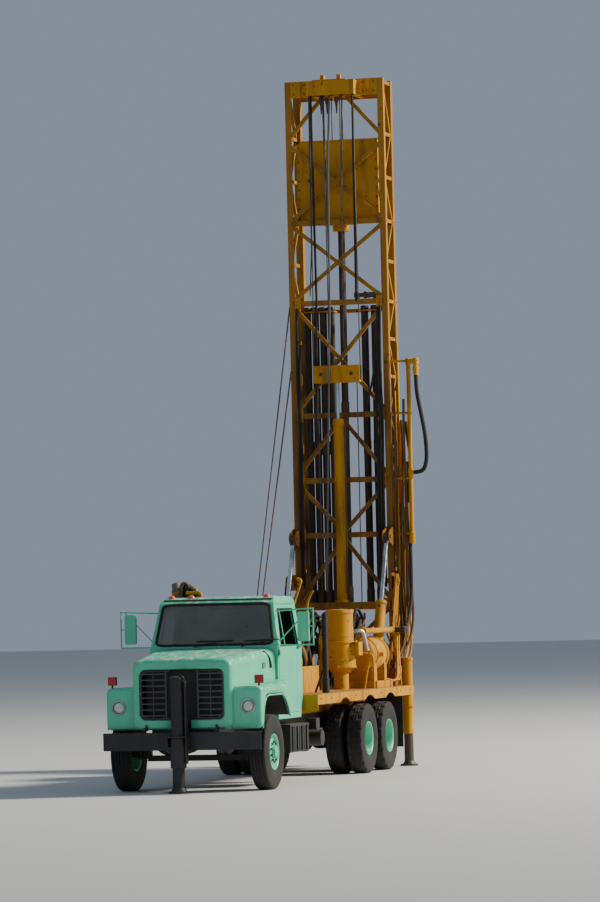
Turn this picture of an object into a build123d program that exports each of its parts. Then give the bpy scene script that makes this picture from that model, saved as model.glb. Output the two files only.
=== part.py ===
from build123d import *
import os
from math import atan2, copysign, degrees, hypot, pi, radians, tan

# A borehole drilling rig: a lattice mast, its feed and its compressor on a six-wheel truck.
# Lengths are in millimetres. X points to the driver's side, Y to the rear and Z up.
# Places along Y are counted from the front axle, and the whole rig is moved to its middle when written.

# Ground gear
WHEEL_R = 542
TYRE_W = 270
TYRE_BORE_R = 256
RIM_GAP = 0.3
RIM_R = TYRE_BORE_R - RIM_GAP
FRONT_FACE_X = 1170
REAR_FACE_X = 1190
DUAL_STEP = 340
TANDEM_Y = 6142
TANDEM_STEP = 1314
HUB_BORE_R = 56
STUB_R = 55
HUB_END_GAP = 12
KINGPIN_X = 800
KINGPIN_R = 22
KINGPIN_GAP = 1
KINGPIN_BOSS_R = 50

# Chassis
RAIL_X = 430
RAIL_W = 80
RAIL_T = 9
RAIL_Z0 = WHEEL_R + 178
RAIL_Z1 = RAIL_Z0 + 250
RAIL_Y0 = -690
RAIL_Y1 = 8180
BUMPER_X = 1175
BUMPER_Y = -870
BUMPER_DEPTH = 130
BUMPER_Z0 = RAIL_Z0 - 112
BUMPER_Z1 = RAIL_Z0 + 142
BUMPER_T = 10

# Hood
HOOD_WALL = 18
NOSE_X = 745
NOSE_Y = -760
NOSE_Z0 = RAIL_Z1 - 70
NOSE_Z1 = 1925
COWL_X = 940
COWL_Y = 905
COWL_Z1 = 2040
FENDER_X = 1165
FENDER_Y0 = -670
FENDER_Z1 = 1505
FENDER_SLOPE = 85
ARCH_TOP = 1360
GRILLE_X = 628
GRILLE_Z0 = 1035
GRILLE_Z1 = 1765
GRILLE_CUT_X = 225
GRILLE_DEPTH = 60
GRILLE_ROWS = 8
SLOT_X = 130
HOOD_PIVOT_Y = -800
HOOD_PIVOT_Z = NOSE_Z0
HOOD_PIN_R = 14
HEADLIGHT_X = 965
HEADLIGHT_Z = 1222
HEADLIGHT_R = 92

# Cab
CAB_X = 970
CAB_WALL = 40
CAB_Y0 = 940
CAB_Y1 = 2300
CAB_Z0 = RAIL_Z1 + 10
BELT_Z = 2050
ROOF_X = 862
ROOF_Z = 2785
ROOF_ROUND = 60
SCREEN_LOW_X = 889
SCREEN_TOP_X = 803
SCREEN_Z0 = 2075
SCREEN_Z1 = 2675
DOOR_Y0 = 1003
DOOR_Y1 = 2180
DOOR_Z0 = CAB_Z0 + 80
DOOR_Z1 = 2665
DOOR_SILL = 2040
DOOR_GAP = 7
HINGE_X = 985
HINGE_ZS = (1330, 1950)
HINGE_PIN_R = 6
HINGE_H = 60
MIRROR_BAR_X = 1470
MIRROR_X0 = 1235
MIRROR_X1 = 1407

# Deck
DECK_X = 1200
DECK_Y0 = 2310
DECK_Y1 = 8370
DECK_Z = RAIL_Z1 + 330
DECK_T = 12
SKIRT_H = 150
SKIRT_T = 12
SKIRT_ARCH_R = WHEEL_R + 138
STAY_FEET = (6700, 6950)
STAY_LUG_H = 70

# Jacks
FRONT_JACK_Y = -970
FRONT_JACK_R = 97
FRONT_JACK_Z0 = 360
FRONT_JACK_Z1 = 1665
REAR_JACK_X = 1120
REAR_JACK_Y = 8270
REAR_JACK_R = 85
REAR_JACK_Z0 = 520
REAR_JACK_Z1 = 1755
LEG_GAP = 0.5
JACK_WALL = 8
PAD_T = 30
PAD_GROW = 60
JACK_LAP = 420

# Mast
MAST_X = 833
MAST_Y0 = 8700
MAST_DEPTH = 630
MAST_Z0 = 1080
MAST_Z1 = 11240
ANGLE_W = 100
ANGLE_T = 12
REAR_POST = 118
BRACE_T = 50
BRACE_W = 62
BEAM_W = 88
CROWN_H = 270
PIVOT_Y = 8550
PIVOT_Z = 3000
PIVOT_R = 45
PIVOT_GAP = 1
STAND_X = 900
STAND_T = 30
STAND_Y0 = 7700
HEADREST_Y = 2520
BANK_Y1 = 7990
BASE_BEAM_Z = 2620
BASE_BEAM_Y = 8400
TABLE_Z = 1230
TABLE_T = 80
DRILL_Y = 9000
TABLE_BORE_R = 130

# Raising cylinders
RAISE_X = 785
RAISE_PIN_Y = 8450
RAISE_PIN_Z = 3720
RAISE_BASE_Y = 7450
RAISE_BASE_Z = DECK_Z + 120
RAISE_BARREL_R = 85
RAISE_BARREL_L = 1360
RAISE_LAP = 72
RAISE_ROD_R = 38
RAISE_EYE_R = 62
RAISE_EYE_W = 70
RAISE_PIN_R = 30
CHEEK_GAP = 5
CHEEK_T = 20

# Feed
FEED_Y = 8520
FEED_R = 84
FEED_WALL = 12
FEED_TOP = 5660
FEED_ROD_R = 30
BLOCK_X = 394
BLOCK_Z0 = 6250
BLOCK_Z1 = 6535
BLOCK_PLATE_T = 16
BLOCK_DEPTH = 150
SHEAVE_X = 255
SHEAVE_R = 128
CROWN_BOX_X = 400
CROWN_SHEAVE_R = 100
CROWN_SHEAVE_Z = MAST_Z1 - CROWN_H + CROWN_SHEAVE_R + 12
ROPE_R = 8

# Drill head and rods
HEAD_X = 690
HEAD_Y = 8830
HEAD_Z0 = 8915
HEAD_Z1 = 10267
GEARBOX_X = 165
CHUCK_R = 140
PIPE_R = 57
PIPE_Z0 = 2660
ROD_Z0 = 2640
ROD_Z1 = 7540
ROD_R = 60
ROD_Y = 9130
ROD_PLACES = (-645, -510, -375, -240, 330, 500)
RACK_Z = 7440
SHELF_Z = 2640

# Standpipe and hoses
PIPE_X = 1137
PIPE_Y = 8760
PIPE_TOP = 6580
SPOUT_X = 1262
PIPE_TUBE_R = 34
HOSE_R = 34
HOSE_TOP_Z = 6340
HOSE_END_Z = 4760

# Deck machinery
TANK_R = 268
TANK_X = 820
TANK_Y0 = 6320
TANK_Y1 = 7230
TANK_Z = 1830
RADIATOR_Y0 = 2680
RADIATOR_T = 200
RADIATOR_H = 1000
SHROUD_Z1 = 2240
ENGINE_Y0 = 2980
ENGINE_Y1 = 4420
ENGINE_Z1 = 2060
SUMP_H = 180
SCREW_X = -120
SCREW_Y0 = 4600
SCREW_Y1 = 5500
SCREW_Z = 1800
SCREW_R = 330
OIL_X0 = -1120
OIL_X1 = -640
OIL_Y0 = 4900
OIL_Y1 = 6200
OIL_Z1 = 1960
CLEANER_X = 650
CLEANER_Y = 5830
CLEANER_R = 232
CLEANER_Z0 = 1635
CLEANER_Z1 = 2525
CLEANER_BAND_Z = 2035
STACK_X = 1000
STACK_Y = 3550

REAR_Y = MAST_Y0 + MAST_DEPTH
FRONT_Y = FRONT_JACK_Y - FRONT_JACK_R - PAD_GROW
MID_Y = (REAR_Y + FRONT_Y) / 2

parts = {}


def block(x0, x1, y0, y1, z0, z1):
    """a box from its lowest to its highest corner"""
    size = Box(x1 - x0, y1 - y0, z1 - z0)
    return Pos((x0 + x1) / 2, (y0 + y1) / 2, (z0 + z1) / 2) * size


def rod(start, end, radius, bore=0):
    """a round bar or tube between two points"""
    a = Vector(*start)
    b = Vector(*end)
    plane = Plane(origin=a, z_dir=(b - a).normalized())
    ring = Circle(radius) - Circle(bore) if bore else Circle(radius)
    return extrude(plane * ring, amount=(b - a).length)


def strip(a, b, width):
    """a flat bar between two points of a drawing"""
    dx = b[0] - a[0]
    dy = b[1] - a[1]
    turn = Rot(0, 0, degrees(atan2(dy, dx)))
    return Pos((a[0] + b[0]) / 2, (a[1] + b[1]) / 2) * turn * Rectangle(hypot(dx, dy), width)


def front_plane(y):
    """a drawing seen from the front, that grows to the rear"""
    return Plane(origin=(0, y, 0), x_dir=(-1, 0, 0), z_dir=(0, 1, 0))


def side_plane(x):
    """a drawing of Y against Z, that grows to the driver's side"""
    return Plane(origin=(x, 0, 0), x_dir=(0, 1, 0), z_dir=(1, 0, 0))


def side_slab(points, x0, x1):
    """a slab cut to a side outline"""
    return extrude(side_plane(x0) * make_face(Polyline(*points, close=True)), amount=x1 - x0)


def rounded_tube(points, radius, bend):
    """a round bar through a route with one bend radius"""
    path = FilletPolyline(*points, radius=bend)
    start = Plane(origin=path @ 0, z_dir=path % 0)
    return sweep(start * Circle(radius), path=path)


def both(shape):
    """a piece and its mirror image on the other side"""
    return [shape, mirror(shape, about=Plane.YZ)]


def joined(shapes):
    """one body from pieces that touch"""
    first, *rest = shapes
    return first.fuse(*rest).clean() if rest else first


def keep(name, *shapes):
    """keeps pieces as one node"""
    solids = [s for shape in shapes for s in shape.solids()]
    parts[name] = solids


def turned_profile(points):
    """a body of revolution about a wheel's axle"""
    face = make_face(Polyline(*points, close=True))
    plane = Plane(origin=(0, 0, 0), x_dir=(1, 0, 0), z_dir=(0, -1, 0))
    return revolve(plane * face, axis=Axis.X)


# Wheels
def tyre():
    """a tyre centred on the origin"""
    half = TYRE_W / 2
    shoulder = 34
    side = [(-half, 360), (-half + 10, 470), (-half + shoulder, WHEEL_R - 10),
            (-half + shoulder + 30, WHEEL_R)]
    bead = [(-half + 38, TYRE_BORE_R)]
    left = bead + side
    right = [(-x, r) for x, r in reversed(left)]
    return turned_profile(left + right)


def front_rim():
    """the outer face points along +X, from the middle of the tyre"""
    half = TYRE_W / 2 - 34
    shell = [(-half, 236), (half, 236), (half, RIM_R), (-half, RIM_R)]
    disc = [(48, HUB_BORE_R), (96, 100), (96, 150), (60, 236), (40, 236), (74, 150), (74, 112),
            (20, HUB_BORE_R)]
    hub = [(-70, HUB_BORE_R), (-70, 95), (60, 95), (104, 92), (150, 80), (150, 0), (134, 0),
           (134, HUB_BORE_R)]
    wheel = joined([turned_profile(shell), turned_profile(disc), turned_profile(hub)])
    for hole in PolarLocations(190, 10):
        spot = hole.position
        wheel -= rod((0, spot.X, spot.Y), (140, spot.X, spot.Y), 24)
    return wheel


def dual_rims():
    """two deep rims bolted back to back on one hub, from the middle of the outer tyre"""
    half = TYRE_W / 2 - 34
    face = -DUAL_STEP / 2
    outer = [(-half, 236), (half, 236), (half, RIM_R), (-half, RIM_R)]
    inner = [(x - DUAL_STEP, r) for x, r in outer]
    disc_out = [(face, HUB_BORE_R), (face, 180), (-half, 236), (-half + 16, 236), (face + 16, 168),
                (face + 16, HUB_BORE_R)]
    disc_in = [(face - 16, HUB_BORE_R), (face, HUB_BORE_R), (face, 168), (half - DUAL_STEP, 236),
               (half - DUAL_STEP - 16, 236), (face - 16, 180)]
    hub = [(face - 60, HUB_BORE_R), (face - 60, 120), (face + 90, 110), (face + 150, 90), (face + 150, 0),
           (face + 134, 0), (face + 134, HUB_BORE_R)]
    shapes = [turned_profile(p) for p in (outer, inner, disc_out, disc_in, hub)]
    wheel = joined(shapes)
    for hole in PolarLocations(140, 6):
        spot = hole.position
        wheel -= rod((face - 60, spot.X, spot.Y), (face + 60, spot.X, spot.Y), 20)
    return wheel


def wheels():
    front_x = FRONT_FACE_X - TYRE_W / 2
    rear_x = REAR_FACE_X - TYRE_W / 2
    plain_tyre = tyre()
    plain_rim = front_rim()
    duals = dual_rims()
    for side, sign in (("left", 1), ("right", -1)):
        turn = Rot(0, 0, 0) if sign > 0 else Rot(0, 0, 180)
        at_front = Pos(sign * front_x, 0, WHEEL_R) * turn
        keep(f"front_{side}_wheel", at_front * plain_tyre, at_front * plain_rim)
        for row, shift in (("mid", -1), ("rear", 1)):
            at_rear = Pos(sign * rear_x, TANDEM_Y + shift * TANDEM_STEP / 2, WHEEL_R) * turn
            pair = [at_rear * plain_tyre, at_rear * Pos(-DUAL_STEP, 0, 0) * plain_tyre]
            keep(f"{row}_{side}_wheels", at_rear * duals, *pair)


# Axles and frame
def front_axle():
    beam_z = WHEEL_R - 60
    beam = side_slab([(-45, beam_z - 55), (45, beam_z - 55), (45, beam_z + 30), (-45, beam_z + 30)],
                     -KINGPIN_X + 60, KINGPIN_X - 60)
    ends = both(block(KINGPIN_X - 70, KINGPIN_X, -45, 45, WHEEL_R - 45, WHEEL_R + 45))
    ends += both(Pos(KINGPIN_X, 0, WHEEL_R) * Cylinder(KINGPIN_BOSS_R, 90))
    links = both(block(KINGPIN_X - 110, KINGPIN_X - 60, -45, 45, beam_z - 40, WHEEL_R + 45))
    axle = joined([beam] + ends + links)
    for sign in (1, -1):
        axle -= Pos(sign * KINGPIN_X, 0, WHEEL_R) * Cylinder(KINGPIN_R + KINGPIN_GAP, 200)
    springs = []
    for sign in (1, -1):
        for leaf in range(4):
            half = 640 - leaf * 120
            low = beam_z + 30 + (3 - leaf) * 22
            x = sign * RAIL_X
            arch = [(-half, low + 60), (-half * 0.5, low + 20), (0, low), (half * 0.5, low + 20),
                    (half, low + 60),
                    (half, low + 80), (half * 0.5, low + 40), (0, low + 22), (-half * 0.5, low + 40),
                    (-half, low + 80)]
            springs.append(side_slab(arch, x - 40, x + 40))
    keep("front_axle", axle)
    stack = [joined(springs[:4]), joined(springs[4:])]
    hangers = []
    for sign in (1, -1):
        x = sign * RAIL_X
        for y in (-600, 600):
            hangers.append(block(x - 40, x + 40, y - 30, y + 30, RAIL_Z0 - 80, RAIL_Z0))
    return [joined([stack[0], hangers[0], hangers[1]]), joined([stack[1], hangers[2], hangers[3]])]


def knuckles():
    """the yokes that steer the front wheels"""
    arm = WHEEL_R + 45 + KINGPIN_GAP
    low = WHEEL_R - 45 - KINGPIN_GAP
    upper = block(KINGPIN_X - 40, KINGPIN_X + 90, -40, 40, arm, arm + 35)
    lower = block(KINGPIN_X - 40, KINGPIN_X + 90, -40, 40, low - 35, low)
    back = block(KINGPIN_X + 60, KINGPIN_X + 90, -70, 70, low - 35, arm + 35)
    pin = Pos(KINGPIN_X, 0, WHEEL_R) * Cylinder(KINGPIN_R, arm - low + 40)
    stub_end = FRONT_FACE_X - TYRE_W / 2 + 134 - HUB_END_GAP
    stub = rod((KINGPIN_X + 80, 0, WHEEL_R), (stub_end, 0, WHEEL_R), STUB_R)
    steer_arm = block(KINGPIN_X - 20, KINGPIN_X + 20, 30, 230, low - 35, low - 10)
    left = joined([upper, lower, back, pin, stub, steer_arm])
    keep("left_knuckle", left)
    keep("right_knuckle", mirror(left, about=Plane.YZ))


def rear_axles():
    shapes = []
    face_x = REAR_FACE_X - TYRE_W / 2 - DUAL_STEP / 2
    stub_end = face_x + 134 - HUB_END_GAP
    for shift in (-1, 1):
        y = TANDEM_Y + shift * TANDEM_STEP / 2
        housing = rod((-530, y, WHEEL_R), (530, y, WHEEL_R), 80)
        stub = rod((-stub_end, y, WHEEL_R), (stub_end, y, WHEEL_R), STUB_R)
        bowl = Pos(60, y, WHEEL_R) * Sphere(215)
        bowl = bowl & block(-200, 300, y - 215, y + 215, WHEEL_R - 190, WHEEL_R + 190)
        nose = rod((60, y, WHEEL_R + 20), (60, y - 300, WHEEL_R + 60), 85)
        seats = both(block(RAIL_X - 60, RAIL_X + 60, y - 70, y + 70, WHEEL_R + 60, WHEEL_R + 110))
        shapes.append(joined([housing, stub, bowl, nose] + seats))
    keep("drive_axles", *shapes)


def tandem_springs():
    springs = []
    half = TANDEM_STEP / 2 + 90
    low = WHEEL_R + 110
    high = RAIL_Z0 - 10
    for sign in (1, -1):
        x = sign * RAIL_X
        wide = [(-half, low), (half, low), (half, low + 22), (half * 0.45, high), (-half * 0.45, high),
                (-half, low + 22)]
        spring = side_slab([(TANDEM_Y + a, b) for a, b in wide], x - 45, x + 45)
        saddle = block(x - 60, x + 60, TANDEM_Y - 130, TANDEM_Y + 130, high, RAIL_Z0)
        springs.append(joined([spring, saddle]))
    return springs


def chassis():
    rails = []
    for sign in (1, -1):
        x_out = sign * (RAIL_X + RAIL_W / 2)
        x_in = sign * (RAIL_X - RAIL_W / 2)
        x_web = x_out - sign * RAIL_T
        lo, hi = sorted((x_out, x_web))
        web = block(lo, hi, RAIL_Y0, RAIL_Y1, RAIL_Z0, RAIL_Z1)
        lo, hi = sorted((x_out, x_in))
        top = block(lo, hi, RAIL_Y0, RAIL_Y1, RAIL_Z1 - RAIL_T, RAIL_Z1)
        low = block(lo, hi, RAIL_Y0, RAIL_Y1, RAIL_Z0, RAIL_Z0 + RAIL_T)
        rails += [web, top, low]
    ties = []
    reach = RAIL_X + RAIL_W / 2 - RAIL_T
    for y in (-640, 700, 2200, 3700, 5100, TANDEM_Y, 7300, 8100):
        ties.append(block(-reach, reach, y - 40, y + 40, RAIL_Z0 + 40, RAIL_Z1 - 40))
    frame = joined(rails + ties)
    keep("chassis_frame", frame)


def bumper():
    inset = 140
    outline = [(-BUMPER_X, BUMPER_Y + 80), (-BUMPER_X + inset, BUMPER_Y), (BUMPER_X - inset, BUMPER_Y),
               (BUMPER_X, BUMPER_Y + 80), (BUMPER_X, BUMPER_Y + BUMPER_DEPTH),
               (-BUMPER_X, BUMPER_Y + BUMPER_DEPTH)]
    t = BUMPER_T
    core = [(-BUMPER_X - 1, BUMPER_Y + 80 + t), (-BUMPER_X + inset, BUMPER_Y + t),
            (BUMPER_X - inset, BUMPER_Y + t),
            (BUMPER_X + 1, BUMPER_Y + 80 + t), (BUMPER_X + 1, BUMPER_Y + BUMPER_DEPTH + 1),
            (-BUMPER_X - 1, BUMPER_Y + BUMPER_DEPTH + 1)]
    shell = extrude(Pos(0, 0, BUMPER_Z0) * make_face(Polyline(*outline, close=True)),
                    amount=BUMPER_Z1 - BUMPER_Z0)
    room = extrude(Pos(0, 0, BUMPER_Z0 + t) * make_face(Polyline(*core, close=True)),
                   amount=BUMPER_Z1 - BUMPER_Z0 - 2 * t)
    bar = shell - room
    horns = []
    for sign in (1, -1):
        x = sign * (RAIL_X + 10)
        horns.append(block(x - 30, x + 30, BUMPER_Y + t, RAIL_Y0, RAIL_Z0, BUMPER_Z1 - t))
    ears = []
    for sign in (1, -1):
        x = sign * 540
        ear = block(x - 12, x + 12, HOOD_PIVOT_Y - 30, HOOD_PIVOT_Y + 30, BUMPER_Z1, HOOD_PIVOT_Z + 30)
        ears.append(ear - rod((x - 20, HOOD_PIVOT_Y, HOOD_PIVOT_Z), (x + 20, HOOD_PIVOT_Y, HOOD_PIVOT_Z),
                              HOOD_PIN_R + 1))
    keep("front_bumper", joined([bar] + horns + ears))


# Hood
def hood_form(wall):
    """the outer shape of the hood, or with a wall its inner one"""
    nose = Plane(origin=(0, NOSE_Y + 60, 0), x_dir=(-1, 0, 0), z_dir=(0, 1, 0))
    cowl = Plane(origin=(0, COWL_Y + (1 if wall else 0), 0), x_dir=(-1, 0, 0), z_dir=(0, 1, 0))

    def section(plane, half, z0, z1, radius):
        tall = z1 - z0 - 2 * wall
        shape = Pos(0, (z0 + z1) / 2) * RectangleRounded(2 * (half - wall), tall, radius - wall / 2)
        return plane * shape

    main = loft([section(nose, NOSE_X, NOSE_Z0, NOSE_Z1, 110),
                 section(cowl, COWL_X, NOSE_Z0, COWL_Z1, 130)])
    face = Plane(origin=(0, NOSE_Y + wall, 0), x_dir=(-1, 0, 0), z_dir=(0, 1, 0))
    tip = loft([section(face, NOSE_X - 55, NOSE_Z0 + 35, NOSE_Z1 - 55, 90),
                section(nose, NOSE_X, NOSE_Z0, NOSE_Z1, 110)])
    pods = []
    for sign in (1, -1):
        foot = NOSE_Z0 + wall - (40 if wall else 0)
        back = COWL_Y + (1 if wall else 0)
        side = [(FENDER_Y0 + wall, foot), (FENDER_Y0 + wall, FENDER_Z1 - FENDER_SLOPE - wall / 2),
                (FENDER_Y0 + FENDER_SLOPE + wall / 2, FENDER_Z1 - wall), (COWL_Y - 300, FENDER_Z1 - wall),
                (back, FENDER_Z1 + 60 - wall), (back, foot)]
        lo, hi = sorted((sign * 500, sign * (FENDER_X - wall)))
        pods.append(side_slab(side, lo, hi))
    return main, tip, pods


def hood():
    outer_main, outer_tip, outer_pods = hood_form(0)
    inner_main, inner_tip, inner_pods = hood_form(HOOD_WALL)
    shell = joined([outer_main, outer_tip] + outer_pods)
    shell -= joined([inner_main, inner_tip] + inner_pods)
    under = block(-NOSE_X + 60, NOSE_X - 60, NOSE_Y + 50, COWL_Y + 10, NOSE_Z0 - 10, NOSE_Z0 + 120)
    shell -= under
    arch = [(-600, NOSE_Z0 - 50), (-520, ARCH_TOP - 180), (-400, ARCH_TOP), (600, ARCH_TOP),
            (740, ARCH_TOP - 70),
            (COWL_Y + 20, ARCH_TOP - 350), (COWL_Y + 20, NOSE_Z0 - 50)]
    for sign in (1, -1):
        lo, hi = sorted((sign * 640, sign * (FENDER_X + 20)))
        shell -= side_slab(arch, lo, hi)
    opening = Pos(0, (GRILLE_Z0 + GRILLE_Z1) / 2) * RectangleRounded(2 * GRILLE_X, GRILLE_Z1 - GRILLE_Z0, 80)
    shell -= extrude(front_plane(NOSE_Y - 10) * opening, amount=90)
    shell -= block(-SLOT_X, SLOT_X, NOSE_Y - 10, NOSE_Y + 130, NOSE_Z0 - 50, GRILLE_Z0 + 20)
    for sign in (1, -1):
        spot = (sign * HEADLIGHT_X, FENDER_Y0 - 20, HEADLIGHT_Z)
        shell -= rod(spot, (spot[0], FENDER_Y0 + 60, HEADLIGHT_Z), HEADLIGHT_R)
    lugs = []
    for sign in (1, -1):
        x = sign * 520
        arm = [(HOOD_PIVOT_Y - 24, HOOD_PIVOT_Z - 16), (HOOD_PIVOT_Y - 24, HOOD_PIVOT_Z + 24),
               (NOSE_Y + 12, NOSE_Z0 + 80), (NOSE_Y + 30, NOSE_Z0 + 80),
               (NOSE_Y + 30, HOOD_PIVOT_Z - 16 + 30)]
        plate = side_slab(arm, x - 6, x + 6)
        pin_x = (x - 2, sign * 556)
        inner_end = (min(pin_x), HOOD_PIVOT_Y, HOOD_PIVOT_Z)
        outer_end = (max(pin_x), HOOD_PIVOT_Y, HOOD_PIVOT_Z)
        plate = joined([plate, rod(inner_end, outer_end, HOOD_PIN_R)])
        lugs.append(plate)
    keep("hood", joined([shell] + lugs))


def grille():
    bars = []
    y0 = NOSE_Y + 6
    mid = (GRILLE_Z0 + GRILLE_Z1) / 2
    outline = Pos(0, mid) * RectangleRounded(2 * GRILLE_X, GRILLE_Z1 - GRILLE_Z0, 80)
    inner = Pos(0, mid) * RectangleRounded(2 * GRILLE_X - 50, GRILLE_Z1 - GRILLE_Z0 - 50, 60)
    cell = Rectangle(GRILLE_X - GRILLE_CUT_X - 10, 18)
    cells = Sketch() + [outline - inner]
    for sign in (1, -1):
        for x, width in ((GRILLE_CUT_X + 12, 24), ((GRILLE_CUT_X + GRILLE_X) / 2, 10)):
            cells += Pos(sign * x, mid) * Rectangle(width, GRILLE_Z1 - GRILLE_Z0 - 10)
        for row in range(GRILLE_ROWS):
            z = GRILLE_Z0 + (GRILLE_Z1 - GRILLE_Z0) * (row + 0.9) / (GRILLE_ROWS + 0.8)
            cells += Pos(sign * (GRILLE_CUT_X + GRILLE_X) / 2, z) * cell
    cells -= Pos(0, mid) * Rectangle(2 * GRILLE_CUT_X, GRILLE_Z1 - GRILLE_Z0 + 10)
    grid = extrude(front_plane(y0) * cells, amount=GRILLE_DEPTH)
    keep("grille", grid)


def lamps():
    lights = []
    for sign in (1, -1):
        x = sign * HEADLIGHT_X
        bezel = rod((x, FENDER_Y0 - 22, HEADLIGHT_Z), (x, FENDER_Y0, HEADLIGHT_Z), HEADLIGHT_R + 14)
        can = rod((x, FENDER_Y0 - 10, HEADLIGHT_Z), (x, FENDER_Y0 + 70, HEADLIGHT_Z), HEADLIGHT_R)
        lights.append(joined([bezel, can]))
    marks = []
    for sign in (1, -1):
        x = sign * (FENDER_X - 70)
        stalk = block(x - 10, x + 10, FENDER_Y0 + 110, FENDER_Y0 + 130, FENDER_Z1, FENDER_Z1 + 50)
        case = block(x - 50, x + 50, FENDER_Y0 + 85, FENDER_Y0 + 155, FENDER_Z1 + 38, FENDER_Z1 + 138)
        marks.append(joined([stalk, case]))
    keep("lamps", *lights, *marks)


# Cab
def cab_outline():
    """the cab seen from the side"""
    return [(CAB_Y0, CAB_Z0), (CAB_Y0, BELT_Z), (960, SCREEN_Z0), (1135, SCREEN_Z1 + 20), (1230, ROOF_Z - 25),
            (1420, ROOF_Z), (2240, ROOF_Z - 10), (CAB_Y1, ROOF_Z - 90), (CAB_Y1, CAB_Z0 + 270),
            (2180, CAB_Z0)]


def cab_prism(grow):
    """the cab seen from the front, upright to the belt and then leaning in to the roof, as a long bar"""
    half = [(CAB_X, CAB_Z0 - 200), (CAB_X, BELT_Z), (ROOF_X, ROOF_Z - ROOF_ROUND),
            (ROOF_X - ROOF_ROUND / 3, ROOF_Z - ROOF_ROUND / 3), (ROOF_X - ROOF_ROUND, ROOF_Z)]
    face = make_face(Polyline(*half, *[(-x, z) for x, z in reversed(half)], close=True))
    if grow:
        face = offset(face, amount=grow, kind=Kind.INTERSECTION)
    return extrude(front_plane(CAB_Y0 - 50) * face, amount=CAB_Y1 - CAB_Y0 + 100)


def cab_side_x(z):
    """how far out the side of the cab stands at a height"""
    lean = (CAB_X - ROOF_X) / (ROOF_Z - ROOF_ROUND - BELT_Z)
    return CAB_X - lean * max(0, z - BELT_Z)


def door_outline(gap):
    y0 = DOOR_Y0 + gap
    y1 = DOOR_Y1 - gap
    return [(y0, DOOR_Z0 + gap), (y0, BELT_Z + 80), (1185 + gap, DOOR_Z1 - gap), (y1, DOOR_Z1 - gap),
            (y1, DOOR_Z0 + 170), (2080, DOOR_Z0 + gap)]


def screen_bar(y0, y1):
    """the windscreen's tapered outline run through from front to back"""
    half = [(SCREEN_LOW_X, SCREEN_Z0 + 15), (SCREEN_TOP_X, SCREEN_Z1)]
    face = make_face(Polyline(*half, *[(-x, z) for x, z in reversed(half)], close=True))
    return extrude(front_plane(y0) * face, amount=y1 - y0)


def cab():
    face = make_face(Polyline(*cab_outline(), close=True))
    room = offset(face, amount=-CAB_WALL, kind=Kind.INTERSECTION)
    shell = extrude(side_plane(-CAB_X) * face, amount=2 * CAB_X) & cab_prism(0)
    shell -= extrude(side_plane(-CAB_X) * room, amount=2 * CAB_X) & cab_prism(-CAB_WALL)
    screen = [(800, SCREEN_Z0), (1015, SCREEN_Z0), (1195, SCREEN_Z1 + 10), (800, SCREEN_Z1 + 10)]
    shell -= side_slab(screen, -CAB_X, CAB_X) & screen_bar(800, 1300)
    shell -= block(-620, 620, CAB_Y1 - 60, CAB_Y1 + 20, 2170, 2600)
    shell -= side_slab(door_outline(0), -CAB_X - 10, CAB_X + 10) & (cab_prism(5) - cab_prism(-CAB_WALL - 5))
    ledge = block(-CAB_X + 60, CAB_X - 60, CAB_Y0 + CAB_WALL - 5, CAB_Y0 + 90, 1500, 2000)
    hinges = []
    for z in HINGE_ZS:
        pin = Pos(HINGE_X, DOOR_Y0, z) * Cylinder(HINGE_PIN_R, HINGE_H + 40)
        for end in (z - HINGE_H / 2 - 12, z + HINGE_H / 2 + 2):
            lug = block(CAB_X - 1, HINGE_X + 10, DOOR_Y0 - 40, DOOR_Y0 + 5, end, end + 10)
            hinges += both(lug - block(CAB_X - 10, CAB_X + 1.5, DOOR_Y0 - 2, DOOR_Y0 + 10, end - 5, end + 15))
        hinges += both(pin)
    shell = joined([shell, ledge] + hinges)
    keep("cab_shell", shell)
    pane = [(966, SCREEN_Z0), (974, SCREEN_Z0), (1146, SCREEN_Z1 + 10), (1138, SCREEN_Z1 + 10)]
    back = block(-620, 620, CAB_Y1 - 25, CAB_Y1 - 15, 2170, 2600)
    keep("cab_glass", side_slab(pane, -CAB_X, CAB_X) & screen_bar(900, 1300), back)


def cab_inside():
    floor = CAB_Z0 + CAB_WALL
    base = block(-800, 800, 1720, 2060, floor, floor + 320)
    cushion = block(-820, 820, 1700, 2200, floor + 320, floor + 470)
    back = side_slab([(2120, floor + 470), (2200, floor + 470), (2250, floor + 1000),
                      (2170, floor + 1000)], -820, 820)
    keep("bench_seat", joined([base, cushion, back]))
    dash = side_slab([(CAB_Y0 + 90, 1700), (1180, 1740), (1200, 1930), (CAB_Y0 + 110, BELT_Z),
                      (CAB_Y0 + 90, BELT_Z)],
                     -900, 900)
    column = rod((420, 1185, 1860), (420, 1390, 1960), 24)
    tilt = Plane(origin=(420, 1390, 1960), z_dir=(0, 0.9, 0.44))
    ring = tilt * Torus(225, 15)
    spoke_a = tilt * Box(440, 26, 12)
    spoke_b = tilt * Box(26, 440, 12)
    keep("dashboard", joined([dash, ring, spoke_a, spoke_b, column]))


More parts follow.
